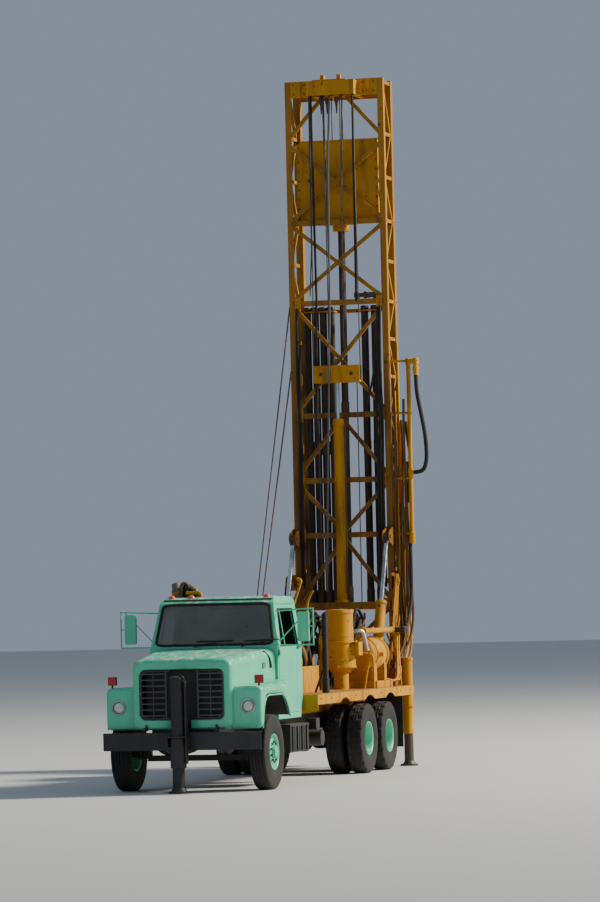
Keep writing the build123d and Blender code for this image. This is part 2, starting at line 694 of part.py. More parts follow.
def doors():
    x0 = CAB_X - CAB_WALL - 2
    skin = cab_prism(3) - cab_prism(-CAB_WALL - 2)
    leaf = side_slab(door_outline(DOOR_GAP), ROOF_X - 100, CAB_X + 10) & skin
    window = [(1120, DOOR_SILL), (1245, 2600), (2090, 2600), (2090, DOOR_SILL)]
    leaf -= side_slab(window, ROOF_X - 110, CAB_X + 8)
    leaf -= block(x0 - 5, CAB_X + 3 - 12, DOOR_Y0 + 60, DOOR_Y1 - 60, 1300, DOOR_SILL - 60)
    handle = block(CAB_X + 3, CAB_X + 40, 2020, 2130, 2010, 2035)
    leaf = joined([leaf, handle])
    bar_x = MIRROR_BAR_X
    top = (bar_x, 1120, 2590)
    low = (bar_x, 1120, 2060)
    feet = [(cab_side_x(z) - 8, y, z) for y, z in ((1180, 2560), (1085, 2060), (1100, 2110))]
    bars = [rod(feet[0], top, 11), rod(feet[1], low, 11), rod((bar_x, 1120, 2049), (bar_x, 1120, 2601), 11),
            rod(feet[2], (bar_x - 60, 1123, 2582), 9),
            rod((MIRROR_X1 - 20, 1120, 2330), (bar_x, 1120, 2330), 9)]
    plate = RectangleRounded(MIRROR_X1 - MIRROR_X0, 435, 30)
    head = extrude(front_plane(1095) * Pos(-(MIRROR_X0 + MIRROR_X1) / 2, 2328) * plate, amount=50)
    leaf = joined([leaf, head] + bars)
    for z in HINGE_ZS:
        knuckle = Pos(HINGE_X, DOOR_Y0, z) * Cylinder(HINGE_PIN_R + 6, HINGE_H)
        strap = block(CAB_X + 3, CAB_X + 8, DOOR_Y0 + 5, DOOR_Y0 + 110, z - HINGE_H / 2, z + HINGE_H / 2)
        pin_hole = Pos(HINGE_X, DOOR_Y0, z) * Cylinder(HINGE_PIN_R + 0.4, HINGE_H + 10)
        leaf = joined([leaf, knuckle, strap]) - pin_hole
    keep("left_door", leaf)
    keep("right_door", mirror(leaf, about=Plane.YZ))


def engine_bay():
    """the cooler that shows dark behind the grille, and the engine under the hood"""
    core = block(-575, 575, -610, -470, RAIL_Z1, 1790)
    fan = rod((0, -470, 1400), (0, -340, 1400), 300)
    motor = block(-300, 300, -340, 880, RAIL_Z1, 1650)
    feet = block(-RAIL_X, RAIL_X, 100, 220, RAIL_Z1 - 1, RAIL_Z1 + 80) - block(-500, 500, 0, 300, 0, RAIL_Z1)
    keep("truck_engine", joined([core, fan, motor, feet]))


def steps_and_tanks():
    x0 = 560
    box = block(x0, 1060, 1190, 2250, RAIL_Z0 - 240, RAIL_Z0 + 175)
    ribs = []
    for i in range(4):
        y = 1330 + i * 260
        ribs.append(block(1060, 1080, y - 15, y + 15, RAIL_Z0 - 220, RAIL_Z0 + 155))
    arms = block(RAIL_X + RAIL_W / 2, x0, 1500, 1950, RAIL_Z0 + 60, RAIL_Z0 + 160)
    keep("left_step_tank", joined([box, arms] + ribs))
    drum = rod((-800, 1250, 700), (-800, 2250, 700), 240)
    strap = [rod((-800, y, 700), (-800, y + 50, 700), 250) for y in (1450, 2000)]
    hang = block(-x0 - 60, -RAIL_X - RAIL_W / 2, 1500, 1950, RAIL_Z0 + 80, RAIL_Z0 + 180)
    keep("right_fuel_tank", joined([drum, hang] + strap))
    reservoir = rod((560, 3060, 640), (1060, 3060, 640), 120)
    carry = block(RAIL_X + RAIL_W / 2, 720, 3000, 3120, 700, 860)
    valve = block(900, 1060, 2700, 2900, 790, 940)
    shelf = block(RAIL_X + RAIL_W / 2, 1090, 2650, 2960, 770, 790)
    keep("air_reservoir", joined([reservoir, carry, valve, shelf]))


# Deck
def deck():
    plate = block(-DECK_X, DECK_X, DECK_Y0, DECK_Y1, DECK_Z - DECK_T, DECK_Z)
    skirts = []
    for sign in (1, -1):
        lo, hi = sorted((sign * DECK_X, sign * (DECK_X - SKIRT_T)))
        skirt = block(lo, hi, DECK_Y0, DECK_Y1, DECK_Z - SKIRT_H, DECK_Z - DECK_T)
        for y in (3950, TANDEM_Y - TANDEM_STEP / 2, TANDEM_Y + TANDEM_STEP / 2):
            skirt -= rod((lo - 5, y, WHEEL_R), (hi + 5, y, WHEEL_R), SKIRT_ARCH_R)
        skirts.append(skirt)
    front = block(-DECK_X, DECK_X, DECK_Y0, DECK_Y0 + SKIRT_T, DECK_Z - 235, DECK_Z - DECK_T)
    front -= block(-RAIL_X - 60, RAIL_X + 60, DECK_Y0 - 5, DECK_Y0 + 20, 0, RAIL_Z1)
    tail = block(-DECK_X, DECK_X, DECK_Y1 - SKIRT_T, DECK_Y1, DECK_Z - SKIRT_H, DECK_Z - DECK_T)
    top = joined([plate, front, tail] + skirts)
    for sign in (1, -1):
        top -= Pos(sign * REAR_JACK_X, REAR_JACK_Y, DECK_Z) * Cylinder(REAR_JACK_R, 700)
    beams = []
    for sign in (1, -1):
        x = sign * (RAIL_X - 5)
        beams.append(block(x - 40, x + 40, DECK_Y0 + SKIRT_T, DECK_Y1 - SKIRT_T, RAIL_Z1, DECK_Z - DECK_T))
    for y in (3000, 4600, 6142, 7700):
        beams.append(block(-DECK_X + SKIRT_T, DECK_X - SKIRT_T, y - 30, y + 30, DECK_Z - 120,
                           DECK_Z - DECK_T))
    rear = block(-REAR_JACK_X - 40, REAR_JACK_X + 40, RAIL_Y1, DECK_Y1 - SKIRT_T, DECK_Z - 325,
                 DECK_Z - DECK_T)
    for sign in (1, -1):
        rear -= Pos(sign * REAR_JACK_X, REAR_JACK_Y, DECK_Z) * Cylinder(REAR_JACK_R, 900)
    panels = both(block(560, 590, 2990, 4700, DECK_Z, DECK_Z + 400))
    anchors = [block(-1150, -1110, y - 30, y + 30, DECK_Z, DECK_Z + STAY_LUG_H) for y in STAY_FEET]
    keep("deck", joined([top, rear] + beams + panels + anchors))
    flaps = []
    for sign in (1, -1):
        lo, hi = sorted((sign * 560, sign * 1180))
        flaps.append(block(lo, hi, 7656, 7670, 330, DECK_Z - 70))
    keep("mud_flaps", *flaps)


def jack_tube(x, y, radius, z0, z1):
    body = Pos(x, y, (z0 + z1) / 2) * Cylinder(radius, z1 - z0)
    dome = Pos(x, y, z1) * scale(Sphere(radius), (1, 1, 0.45))
    bore = Pos(x, y, (z0 + z1 - 60) / 2) * Cylinder(radius - JACK_WALL, z1 - 60 - z0 + 2)
    return joined([body, dome]) - bore


def jack_leg(x, y, radius, z0):
    inner = radius - JACK_WALL - LEG_GAP
    top = z0 + JACK_LAP
    post = Pos(x, y, (top + PAD_T) / 2) * Cylinder(inner, top - PAD_T)
    pad = Pos(x, y, PAD_T / 2) * Cylinder(radius + PAD_GROW, PAD_T)
    skirt = Pos(x, y, PAD_T + 25) * Cone(radius + 20, inner, 50)
    return joined([post, pad, skirt])


def jacks():
    tube = jack_tube(0, FRONT_JACK_Y, FRONT_JACK_R, FRONT_JACK_Z0, FRONT_JACK_Z1)
    hole = Pos(0, FRONT_JACK_Y, (FRONT_JACK_Z0 + FRONT_JACK_Z1) / 2) * Cylinder(FRONT_JACK_R - 1, 2000)
    collar = block(-160, 160, FRONT_JACK_Y - 137, BUMPER_Y, 790, 812) - hole
    seat = block(-150, 150, FRONT_JACK_Y + 40, BUMPER_Y, 620, 790) - hole
    sleeve_h = 790 - FRONT_JACK_Z0
    low_ring = Pos(0, FRONT_JACK_Y, FRONT_JACK_Z0 + sleeve_h / 2) * Cylinder(FRONT_JACK_R + 20, sleeve_h)
    low_ring -= hole
    low_ring -= block(-200, 200, BUMPER_Y, BUMPER_Y + 200, BUMPER_Z0 - 5, BUMPER_Z1)
    guide = block(122, 136, FRONT_JACK_Y - 60, FRONT_JACK_Y + 40, 420, 1560)
    clips = [block(60, 128, FRONT_JACK_Y - 30, FRONT_JACK_Y + 10, z, z + 30) - hole
             for z in (600, 1050, 1500)]
    tubes = [joined([tube, collar, seat, low_ring, guide] + clips)]
    keep("front_jack_leg", jack_leg(0, FRONT_JACK_Y, FRONT_JACK_R, FRONT_JACK_Z0))
    for side, sign in (("left", 1), ("right", -1)):
        x = sign * REAR_JACK_X
        tube = jack_tube(x, REAR_JACK_Y, REAR_JACK_R, REAR_JACK_Z0, REAR_JACK_Z1)
        flange = Pos(x, REAR_JACK_Y, 964) * Cylinder(REAR_JACK_R + 14, 16)
        flange -= Pos(x, REAR_JACK_Y, 964) * Cylinder(REAR_JACK_R - 1, 60)
        tubes.append(joined([tube, flange]))
        keep(f"rear_{side}_jack_leg", jack_leg(x, REAR_JACK_Y, REAR_JACK_R, REAR_JACK_Z0))
    keep("jack_tubes", *tubes)


def mast_stand():
    """the two side frames at the tail that carry the mast's pins"""
    side = [(STAND_Y0, DECK_Z), (DECK_Y1, DECK_Z), (DECK_Y1, PIVOT_Z - 1100), (PIVOT_Y + 90, PIVOT_Z - 60),
            (PIVOT_Y + 90, PIVOT_Z + 70), (PIVOT_Y + 50, PIVOT_Z + 110), (PIVOT_Y - 60, PIVOT_Z + 110),
            (PIVOT_Y - 110, PIVOT_Z + 60)]
    hole = [(STAND_Y0 + 200, DECK_Z + 80), (DECK_Y1 - 90, DECK_Z + 80), (DECK_Y1 - 90, PIVOT_Z - 1100),
            (PIVOT_Y - 170, PIVOT_Z - 550)]
    frames = []
    for sign in (1, -1):
        lo, hi = sorted((sign * STAND_X, sign * (STAND_X + STAND_T)))
        plate = side_slab(side, lo, hi) - side_slab(hole, lo - 5, hi + 5)
        pin_in = sign * (MAST_X - 70)
        pin = rod((pin_in, PIVOT_Y, PIVOT_Z), (sign * (STAND_X + STAND_T + 25), PIVOT_Y, PIVOT_Z), PIVOT_R)
        boss = rod((sign * (STAND_X - 8), PIVOT_Y, PIVOT_Z),
                   (sign * (STAND_X + STAND_T + 12), PIVOT_Y, PIVOT_Z),
                   PIVOT_R + 35)
        tab = block(lo, hi, STAND_Y0, DECK_Y1, DECK_Z, DECK_Z + 20)
        foot = block(lo - 50, hi + 50, STAND_Y0 + 20, DECK_Y1 - 10, DECK_Z, DECK_Z + 14)
        foot -= Pos(sign * REAR_JACK_X, REAR_JACK_Y, DECK_Z) * Cylinder(REAR_JACK_R + 1, 200)
        frames.append(joined([plate, pin, boss, tab, foot]))
    bank = block(STAND_X + STAND_T, STAND_X + STAND_T + 100, BANK_Y1 - 160, BANK_Y1, DECK_Z, DECK_Z + 290)
    cross = block(-STAND_X, STAND_X, DECK_Y1 - 90, DECK_Y1 - 10, DECK_Z + 260, DECK_Z + 350)
    keep("mast_stand", joined(frames + [cross, bank]), *raise_mounts())


def headrest():
    """the bent tubes behind the cab that the lowered mast lies over"""
    y = HEADREST_Y
    beam_z = ROOF_Z - 70
    legs = both(rod((560, y, DECK_Z), (560, y, beam_z), 32))
    beam = rod((-760, y, beam_z), (835, y, beam_z), 32)
    left_horn = rounded_tube([(780, y, beam_z - 110), (925, y, beam_z + 290), (862, y, beam_z + 322)], 24, 30)
    right_horn = rounded_tube([(-640, y, beam_z - 10), (-640, y, beam_z + 148), (-870, y, beam_z + 142)],
                              24, 45)
    keep("mast_headrest", joined(legs + [beam, left_horn, right_horn]))


# Deck machinery
def deck_engine():
    back = RADIATOR_Y0 + RADIATOR_T
    radiator = block(-620, 620, RADIATOR_Y0, back, DECK_Z, DECK_Z + RADIATOR_H)
    shroud = block(-520, 520, back, ENGINE_Y0, DECK_Z + 60, SHROUD_Z1)
    motor = block(-300, 330, ENGINE_Y0, ENGINE_Y1, DECK_Z + SUMP_H, ENGINE_Z1)
    sump = block(-220, 220, ENGINE_Y0 + 70, ENGINE_Y1 - 70, DECK_Z, DECK_Z + SUMP_H)
    covers = [block(x, x + 180, ENGINE_Y0 + 120, ENGINE_Y1 - 120, ENGINE_Z1, ENGINE_Z1 + 120)
              for x in (-240, 60)]
    pipe_z = ENGINE_Z1 + 220
    manifold = rod((420, ENGINE_Y0 + 170, pipe_z), (420, ENGINE_Y1 - 170, pipe_z), 60)
    posts = [block(300, 430, y - 30, y + 30, ENGINE_Z1 - 30, pipe_z + 10)
             for y in (ENGINE_Y0 + 270, ENGINE_Y1 - 270)]
    keep("deck_engine", joined([radiator, shroud, motor, sump, manifold] + covers + posts))


def compressor():
    """the screw compressor on the deck, driven from the engine's rear end"""
    x, z = SCREW_X, SCREW_Z
    middle = (SCREW_Y0 + SCREW_Y1) / 2
    case = Pos(x, middle, z) * Rot(90, 0, 0) * Cylinder(SCREW_R, SCREW_Y1 - SCREW_Y0)
    feet = block(x - 300, x + 300, SCREW_Y0 + 100, SCREW_Y1 - 100, DECK_Z, z - 240)
    snout = rod((x, ENGINE_Y1, z), (x, SCREW_Y0 + 5, z), 170)
    elbow = rod((x, middle + 50, z + 300), (x, middle + 50, z + 530), 110)
    keep("compressor", joined([case, feet, snout, elbow]))


def air_cleaner():
    x, y = CLEANER_X, CLEANER_Y
    z0, seam, z1 = CLEANER_Z0, CLEANER_BAND_Z, CLEANER_Z1
    low = Pos(x, y, (z0 + seam) / 2) * Cylinder(CLEANER_R, seam - z0)
    high = Pos(x, y, (seam + z1) / 2) * Cylinder(CLEANER_R - 27, z1 - seam)
    lid = Pos(x, y, z1 + 10) * Cylinder(CLEANER_R - 17, 30)
    band = Pos(x, y, seam + 5) * Cylinder(CLEANER_R + 12, 26)
    cone = Pos(x, y, z0 - 35) * Cone(150, CLEANER_R, 70)
    outlet = block(x + 120, x + 330, y - 120, y + 130, seam - 205, seam + 5)
    stem_top = z0 - 55
    stem = Pos(x, y, (DECK_Z + stem_top) / 2) * Cylinder(120, stem_top - DECK_Z)
    keep("air_cleaner", joined([low, high, lid, band, cone, outlet, stem]))


def receiver():
    x = TANK_X
    y0, y1 = TANK_Y0, TANK_Y1
    depth = 95
    bulge = [(1.0, 0.0), (0.93, 0.38), (0.76, 0.68), (0.42, 0.92), (0.0, 1.0)]
    dome = [(TANK_R * a, y1 + depth * b) for a, b in bulge]
    front = [(TANK_R * a, y0 - depth * b) for a, b in reversed(bulge)]
    profile = make_face(Polyline(*front, *dome, close=True))
    tank = Pos(x, 0, TANK_Z) * revolve(profile, axis=Axis.Y)
    seams = [rod((x, y, TANK_Z), (x, y + 18, TANK_Z), TANK_R + 6) for y in (y0, y1 - 18)]
    port = rod((x - 40, 6700, TANK_Z + 240), (x - 40, 6700, TANK_Z + TANK_R + 60), 34)
    drum = rod((x, y0 - 200, TANK_Z), (x, y1 + 200, TANK_Z), TANK_R - 4)
    cradle = []
    for y in (6450, 7080):
        cradle.append(block(x - 230, x + 230, y - 60, y + 60, DECK_Z, TANK_Z - 120) - drum)
    sill = block(x - 260, x + 290, 6300, 7330, DECK_Z, DECK_Z + 110)
    keep("air_receiver", joined([tank, port, sill] + seams + cradle))


def stack_and_pipes():
    pipe = rod((STACK_X, STACK_Y, DECK_Z), (STACK_X, STACK_Y, 2500), 44)
    sleeve = rod((STACK_X, STACK_Y, DECK_Z), (STACK_X, STACK_Y, DECK_Z + 230), 50)
    prop = rod((STACK_X - 20, STACK_Y + 20, 1700), (STACK_X - 250, STACK_Y + 330, DECK_Z + 20), 18)
    keep("exhaust_stack", joined([pipe, sleeve, prop]))
    port_y = 6700
    z = 2205
    x = 960
    start = (x, port_y - 610, z - 15)
    turn = (x, 7960, z)
    run = [rod(start, turn, 42), rod((x, 7914, z), (x, 7966, z), 50)]
    branch = rod((TANK_X - 40, port_y, z), (x, port_y, z), 36)
    drop = rod((TANK_X - 40, port_y, TANK_Z + TANK_R + 60), (TANK_X - 40, port_y, z + 40), 44)
    across = rod(turn, (1170, 7960, z), 42)
    silver = rod((x - 10, port_y - 600, z + 20), (x + 45, port_y - 590, z - 300), 38)
    keep("air_line", joined(run + [branch, drop, across, silver]))


def oil_tank():
    """the hydraulic oil tank on the passenger's side of the deck"""
    box = block(OIL_X0, OIL_X1, OIL_Y0, OIL_Y1, DECK_Z, OIL_Z1)
    neck = Pos((OIL_X0 + OIL_X1) / 2, OIL_Y0 + 250, OIL_Z1 + 30) * Cylinder(70, 80)
    keep("oil_tank", joined([box, neck]))


# Mast
LEVELS = (1165, 2620, 3765, 4665, 5730, 7580, 8900, 10330)


def front_face():
    """the front side of the mast: angle posts, ties and crossed braces"""
    reach = MAST_X - ANGLE_W + 32
    drawing = Sketch()
    for z in LEVELS[:-1]:
        drawing += strip((-reach, z), (reach, z), BEAM_W)
    z = LEVELS
    crosses = ((z[0] + 35, z[1] - 40), (z[4] + 50, z[5] - 50), (z[5] + 50, z[6] - 50),
               (z[6] + 50, z[7] - 150))
    fans = ((z[2] - 45, z[1] + 80), (z[2] + 45, z[3] - 45), (z[4] - 40, z[3] + 75))
    pairs = []
    for side in (-reach, reach):
        pairs += [((side, low), (-side, high)) for low, high in crosses]
        pairs += [((0, mid), (side, end)) for mid, end in fans]
        pairs.append(((side, z[7]), (copysign(200, side), MAST_Z1 - 280)))
    for a, b in pairs:
        drawing += strip(a, b, BRACE_W)
    drawing = drawing & Pos(0, 6160) * Rectangle(2 * reach, MAST_Z1 - MAST_Z0 - 280)
    lattice = extrude(front_plane(MAST_Y0 + ANGLE_T) * drawing, amount=BRACE_T)
    posts = []
    for sign in (1, -1):
        w, t = ANGLE_W, ANGLE_T
        corner = [(MAST_X, MAST_Y0), (MAST_X - w, MAST_Y0), (MAST_X - w, MAST_Y0 + t),
                  (MAST_X - t, MAST_Y0 + t),
                  (MAST_X - t, MAST_Y0 + w), (MAST_X, MAST_Y0 + w)]
        face = make_face(Polyline(*[(sign * a, b) for a, b in corner], close=True))
        posts.append(extrude(Pos(0, 0, MAST_Z0) * face, amount=MAST_Z1 - MAST_Z0))
    face = joined([lattice] + posts)
    lugs = []
    for sign in (1, -1):
        lo, hi = sorted((sign * (MAST_X - 20), sign * (MAST_X + 20)))
        ear = block(lo, hi, PIVOT_Y - 90, MAST_Y0 + ANGLE_W, PIVOT_Z - 130, PIVOT_Z + 130)
        sides = (sign * (MAST_X - 60), sign * MAST_X)
        ear -= block(min(sides), max(sides), MAST_Y0, MAST_Y0 + 200, PIVOT_Z - 200, PIVOT_Z + 200)
        ear -= rod((sign * (MAST_X - 60), PIVOT_Y, PIVOT_Z), (sign * (MAST_X + 60), PIVOT_Y, PIVOT_Z),
                   PIVOT_R + PIVOT_GAP)
        lugs.append(ear)
    cheeks = []
    inner = RAISE_X - RAISE_EYE_W / 2 - CHEEK_GAP
    outer = RAISE_X + RAISE_EYE_W / 2 + CHEEK_GAP
    side = [(RAISE_PIN_Y - 70, RAISE_PIN_Z - 50), (RAISE_PIN_Y - 70, RAISE_PIN_Z + 50),
            (RAISE_PIN_Y - 20, RAISE_PIN_Z + 90),
            (MAST_Y0, RAISE_PIN_Z + 170), (MAST_Y0, RAISE_PIN_Z - 170), (RAISE_PIN_Y - 20, RAISE_PIN_Z - 90)]
    for sign in (1, -1):
        for x0, x1 in ((inner - CHEEK_T, inner), (outer, outer + CHEEK_T)):
            lo, hi = sorted((sign * x0, sign * x1))
            plate = side_slab(side, lo, hi)
            cap_x = (sign * (x0 - 14), sign * x0) if x0 < inner else (sign * x1, sign * (x1 + 14))
            lo, hi = sorted(cap_x)
            cap = rod((lo, RAISE_PIN_Y, RAISE_PIN_Z), (hi, RAISE_PIN_Y, RAISE_PIN_Z), 34)
            cheeks.append(joined([plate, cap]))
    return face, lugs, cheeks


def mast_front():
    face, lugs, cheeks = front_face()
    spreaders = []
    for sign in (1, -1):
        inner = RAISE_X - RAISE_EYE_W / 2 - CHEEK_GAP - CHEEK_T
        outer = RAISE_X + RAISE_EYE_W / 2 + CHEEK_GAP + CHEEK_T
        lo, hi = sorted((sign * inner, sign * outer))
        spreaders.append(block(lo, hi, MAST_Y0 - 25, MAST_Y0, RAISE_PIN_Z - 170, RAISE_PIN_Z + 170))
    beam = block(-MAST_X, MAST_X, BASE_BEAM_Y, MAST_Y0, BASE_BEAM_Z - 45, BASE_BEAM_Z + 45)
    pocket = block(-MAST_X + 20, MAST_X - 20, BASE_BEAM_Y + 12, MAST_Y0 - 12, BASE_BEAM_Z - 60,
                   BASE_BEAM_Z + 33)
    keep("mast_front_face", joined([face, beam - pocket] + lugs + cheeks + spreaders))


def side_face(sign):
    """one side of the mast: a heavy rear post and its zigzag braces"""
    rear0 = MAST_Y0 + MAST_DEPTH - REAR_POST
    x0, x1 = sorted((sign * (MAST_X - REAR_POST), sign * MAST_X))
    post = block(x0, x1, rear0, MAST_Y0 + MAST_DEPTH, MAST_Z0, MAST_Z1)
    start = MAST_Y0 + ANGLE_T
    levels = []
    for low, high in zip(LEVELS, LEVELS[1:] + (MAST_Z1 - 60,)):
        count = max(1, round((high - low) / 640))
        levels += [low + (high - low) * i / count for i in range(count)]
    levels.append(MAST_Z1 - 60)
    drawing = Sketch()
    for i, z in enumerate(levels):
        drawing += strip((start, z), (rear0, z), 55)
    for i in range(len(levels) - 1):
        a = (start + 30, levels[i]) if i % 2 else (rear0, levels[i])
        b = (rear0, levels[i + 1]) if i % 2 else (start + 30, levels[i + 1])
        drawing += strip(a, b, 48)
    field = Rectangle(rear0 - start, MAST_Z1 - MAST_Z0)
    drawing = drawing & Pos((start + rear0) / 2, (MAST_Z0 + MAST_Z1) / 2) * field
    flange = MAST_X - ANGLE_T
    lo, hi = sorted((sign * (flange - BRACE_T), sign * flange))
    braces = extrude(side_plane(lo) * drawing, amount=hi - lo)
    return joined([post, braces])


def mast_sides():
    keep("mast_left_face", side_face(1))
    keep("mast_right_face", side_face(-1))


def crown():
    x = MAST_X - ANGLE_T
    y1 = MAST_Y0 + MAST_DEPTH
    low = MAST_Z1 - CROWN_H
    front = block(-MAST_X + ANGLE_W, MAST_X - ANGLE_W, MAST_Y0 - 10, MAST_Y0 + ANGLE_T, low, MAST_Z1)
    top = block(-MAST_X + REAR_POST, MAST_X - REAR_POST, MAST_Y0 - 10, y1, MAST_Z1 - 20, MAST_Z1)
    back = block(-MAST_X + REAR_POST, MAST_X - REAR_POST, y1 - 20, y1, low, MAST_Z1)
    webs = [block(s - 12, s + 12, MAST_Y0 + ANGLE_T, y1 - 20, low, MAST_Z1 - 20)
            for s in (-330, -110, 110, 330)]
    cap = block(-360, 210, MAST_Y0 - 20, MAST_Y0 + 240, MAST_Z1, MAST_Z1 + 14)
    pins = [block(s - 32, s + 32, MAST_Y0 + 20, MAST_Y0 + 110, MAST_Z1 + 14, MAST_Z1 + 92)
            for s in (-200, 80)]
    hangers = []
    for s in (-100, 60):
        hangers.append(block(s - 25, s + 25, MAST_Y0 - 90, MAST_Y0 - 10, low - 30, low + 60))
    sheaves = []
    for s in (-SHEAVE_X, SHEAVE_X):
        wheel = rod((s, FEED_Y - 24, CROWN_SHEAVE_Z), (s, FEED_Y + 24, CROWN_SHEAVE_Z), CROWN_SHEAVE_R)
        pin = rod((s, FEED_Y - 55, CROWN_SHEAVE_Z), (s, MAST_Y0 - 5, CROWN_SHEAVE_Z), 26)
        sheaves += [wheel, pin]
    y0 = FEED_Y - 62
    housing = block(-CROWN_BOX_X, CROWN_BOX_X, y0, MAST_Y0 - 10, low, MAST_Z1 - 30)
    housing -= block(-CROWN_BOX_X + 10, CROWN_BOX_X - 10, y0 + 10, MAST_Y0, low - 5, MAST_Z1 - 42)
    keep("crown", joined([front, top, back, cap, housing] + webs + pins + hangers + sheaves))


def mast_base():
    """the beam that the feed stands on, and the drill table with its bushing"""
    y1 = MAST_Y0 + MAST_DEPTH
    table = block(-MAST_X + REAR_POST, MAST_X - REAR_POST, MAST_Y0 + 62, y1, TABLE_Z - TABLE_T, TABLE_Z)
    ring = Pos(0, DRILL_Y, TABLE_Z + 20) * Cylinder(TABLE_BORE_R + 40, 40)
    table = joined([table, ring]) - Pos(0, DRILL_Y, TABLE_Z) * Cylinder(TABLE_BORE_R, 400)
    keep("drill_table", table)
    shelf = block(-MAST_X + ANGLE_W + 40, MAST_X - ANGLE_W - 40, DRILL_Y + 20, y1 - 20, SHELF_Z - 20, SHELF_Z)
    shelf -= block(-GEARBOX_X - 20, GEARBOX_X + 20, DRILL_Y - 10, DRILL_Y + 160, SHELF_Z - 40, SHELF_Z + 20)
    tie = block(-MAST_X + REAR_POST, MAST_X - REAR_POST, y1 - 80, y1 - 20, SHELF_Z - 100, SHELF_Z - 20)
    upper = block(-MAST_X + REAR_POST, MAST_X - REAR_POST, y1 - 40, y1 - 15, RACK_Z, RACK_Z + 60)
    combs = []
    for x0, x1 in ((-690, -GEARBOX_X - 7), (250, 690)):
        comb = block(x0, x1, ROD_Y - 75, y1 - 40, RACK_Z + 10, RACK_Z + 30)
        combs.append(comb)
    rack = joined([upper] + combs)
    for x in ROD_PLACES:
        rack -= Pos(x, ROD_Y, RACK_Z) * Cylinder(ROD_R + 2, 200)
    keep("rod_racks", joined([shelf, tie]), rack)
    stored = []
    for x in ROD_PLACES:
        pipe = Pos(x, ROD_Y, (ROD_Z0 + ROD_Z1) / 2) * Cylinder(ROD_R, ROD_Z1 - ROD_Z0)
        stored.append(pipe)
    keep("stored_rods", *stored)


def raise_mounts():
    """the pinned feet of the raising cylinders"""
    feet = []
    half = RAISE_EYE_W / 2
    y, z = RAISE_BASE_Y, RAISE_BASE_Z
    for sign in (1, -1):
        x = sign * RAISE_X
        foot = block(x - half - 40, x + half + 40, y - 110, y + 110, DECK_Z, DECK_Z + 16)
        ears = []
        for s in (1, -1):
            lo, hi = sorted((x + s * (half + CHEEK_GAP), x + s * (half + CHEEK_GAP + CHEEK_T)))
            ears.append(block(lo, hi, y - 70, y + 70, DECK_Z + 16, z + 60))
        pin = rod((x - half - 30, y, z), (x + half + 30, y, z), RAISE_PIN_R)
        feet.append(joined([foot, pin] + ears))
    return feet


def raising_cylinders():
    a = Vector(0, RAISE_BASE_Y, RAISE_BASE_Z)
    b = Vector(0, RAISE_PIN_Y, RAISE_PIN_Z)
    way = (b - a).normalized()
    barrels = []
    rods = []
    for sign in (1, -1):
        x = sign * RAISE_X
        at = lambda d: (x, (a + way * d).Y, (a + way * d).Z)
        half = RAISE_EYE_W / 2
        eye = rod((x - half, a.Y, a.Z), (x + half, a.Y, a.Z), RAISE_EYE_R)
        eye -= rod((x - half - 1, a.Y, a.Z), (x + half + 1, a.Y, a.Z), RAISE_PIN_R + 1)
        neck = rod(at(50), at(130), 33)
        neck -= rod((x - half - 1, a.Y, a.Z), (x + half + 1, a.Y, a.Z), RAISE_PIN_R + 1)
        tube = rod(at(120), at(RAISE_BARREL_L), RAISE_BARREL_R)
        collar = rod(at(RAISE_BARREL_L - 60), at(RAISE_BARREL_L), RAISE_BARREL_R + 9)
        tube = joined([tube, collar, neck, eye])
        tube -= rod(at(200), at(RAISE_BARREL_L + 10), RAISE_ROD_R + LEG_GAP)
        barrels.append(tube)
        length = (b - a).length
        shaft = rod(at(RAISE_BARREL_L - RAISE_LAP), at(length - 30), RAISE_ROD_R)
        tip = rod((x - half, b.Y, b.Z), (x + half, b.Y, b.Z), RAISE_EYE_R)
        rods.append(joined([shaft, tip]))
    keep("raise_barrels", *barrels)
    keep("raise_rods", *rods)


def feed():
    z0 = BASE_BEAM_Z + 45
    tube = Pos(0, FEED_Y, (z0 + FEED_TOP) / 2) * Cylinder(FEED_R, FEED_TOP - z0)
    collar = Pos(0, FEED_Y, FEED_TOP - 55) * Cylinder(FEED_R + 14, 110)
    bore = Pos(0, FEED_Y, (z0 + 100 + FEED_TOP) / 2 + 10) * Cylinder(FEED_R - FEED_WALL, FEED_TOP - z0 - 100)
    gland = Pos(0, FEED_Y, FEED_TOP - 40) * Cylinder(FEED_R - FEED_WALL + 1, 80)
    gland -= Pos(0, FEED_Y, FEED_TOP - 40) * Cylinder(FEED_ROD_R + 2, 200)
    stays = [block(-60, 60, FEED_Y + FEED_R - 20, MAST_Y0 + ANGLE_T, z - 30, z + 30)
             for z in (LEVELS[2], LEVELS[3])]
    barrel = joined([tube - bore, collar - bore, gland])
    barrel = joined([barrel] + [s - Pos(0, FEED_Y, 4000) * Cylinder(FEED_R - 1, 6000) for s in stays])
    keep("feed_cylinder", barrel)
    piston = Pos(0, FEED_Y, (z0 + 160 + BLOCK_Z0 + 60) / 2) * Cylinder(FEED_ROD_R, BLOCK_Z0 + 60 - z0 - 160)
    plates = []
    half = BLOCK_DEPTH / 2
    for y0 in (FEED_Y - half, FEED_Y + half - BLOCK_PLATE_T):
        plates.append(block(-BLOCK_X, BLOCK_X, y0, y0 + BLOCK_PLATE_T, BLOCK_Z0, BLOCK_Z1))
    core = block(-70, 70, FEED_Y - half, FEED_Y + half, BLOCK_Z0, BLOCK_Z0 + 120)
    rollers = []
    for x in (-SHEAVE_X, SHEAVE_X):
        z = (BLOCK_Z0 + BLOCK_Z1) / 2
        wheel = rod((x, FEED_Y - 24, z), (x, FEED_Y + 24, z), SHEAVE_R)
        pin = rod((x, FEED_Y - half - 14, z), (x, FEED_Y + half + 10, z), 30)
        rollers += [wheel, pin]
    keep("feed_block", joined(plates + [core, piston] + rollers))


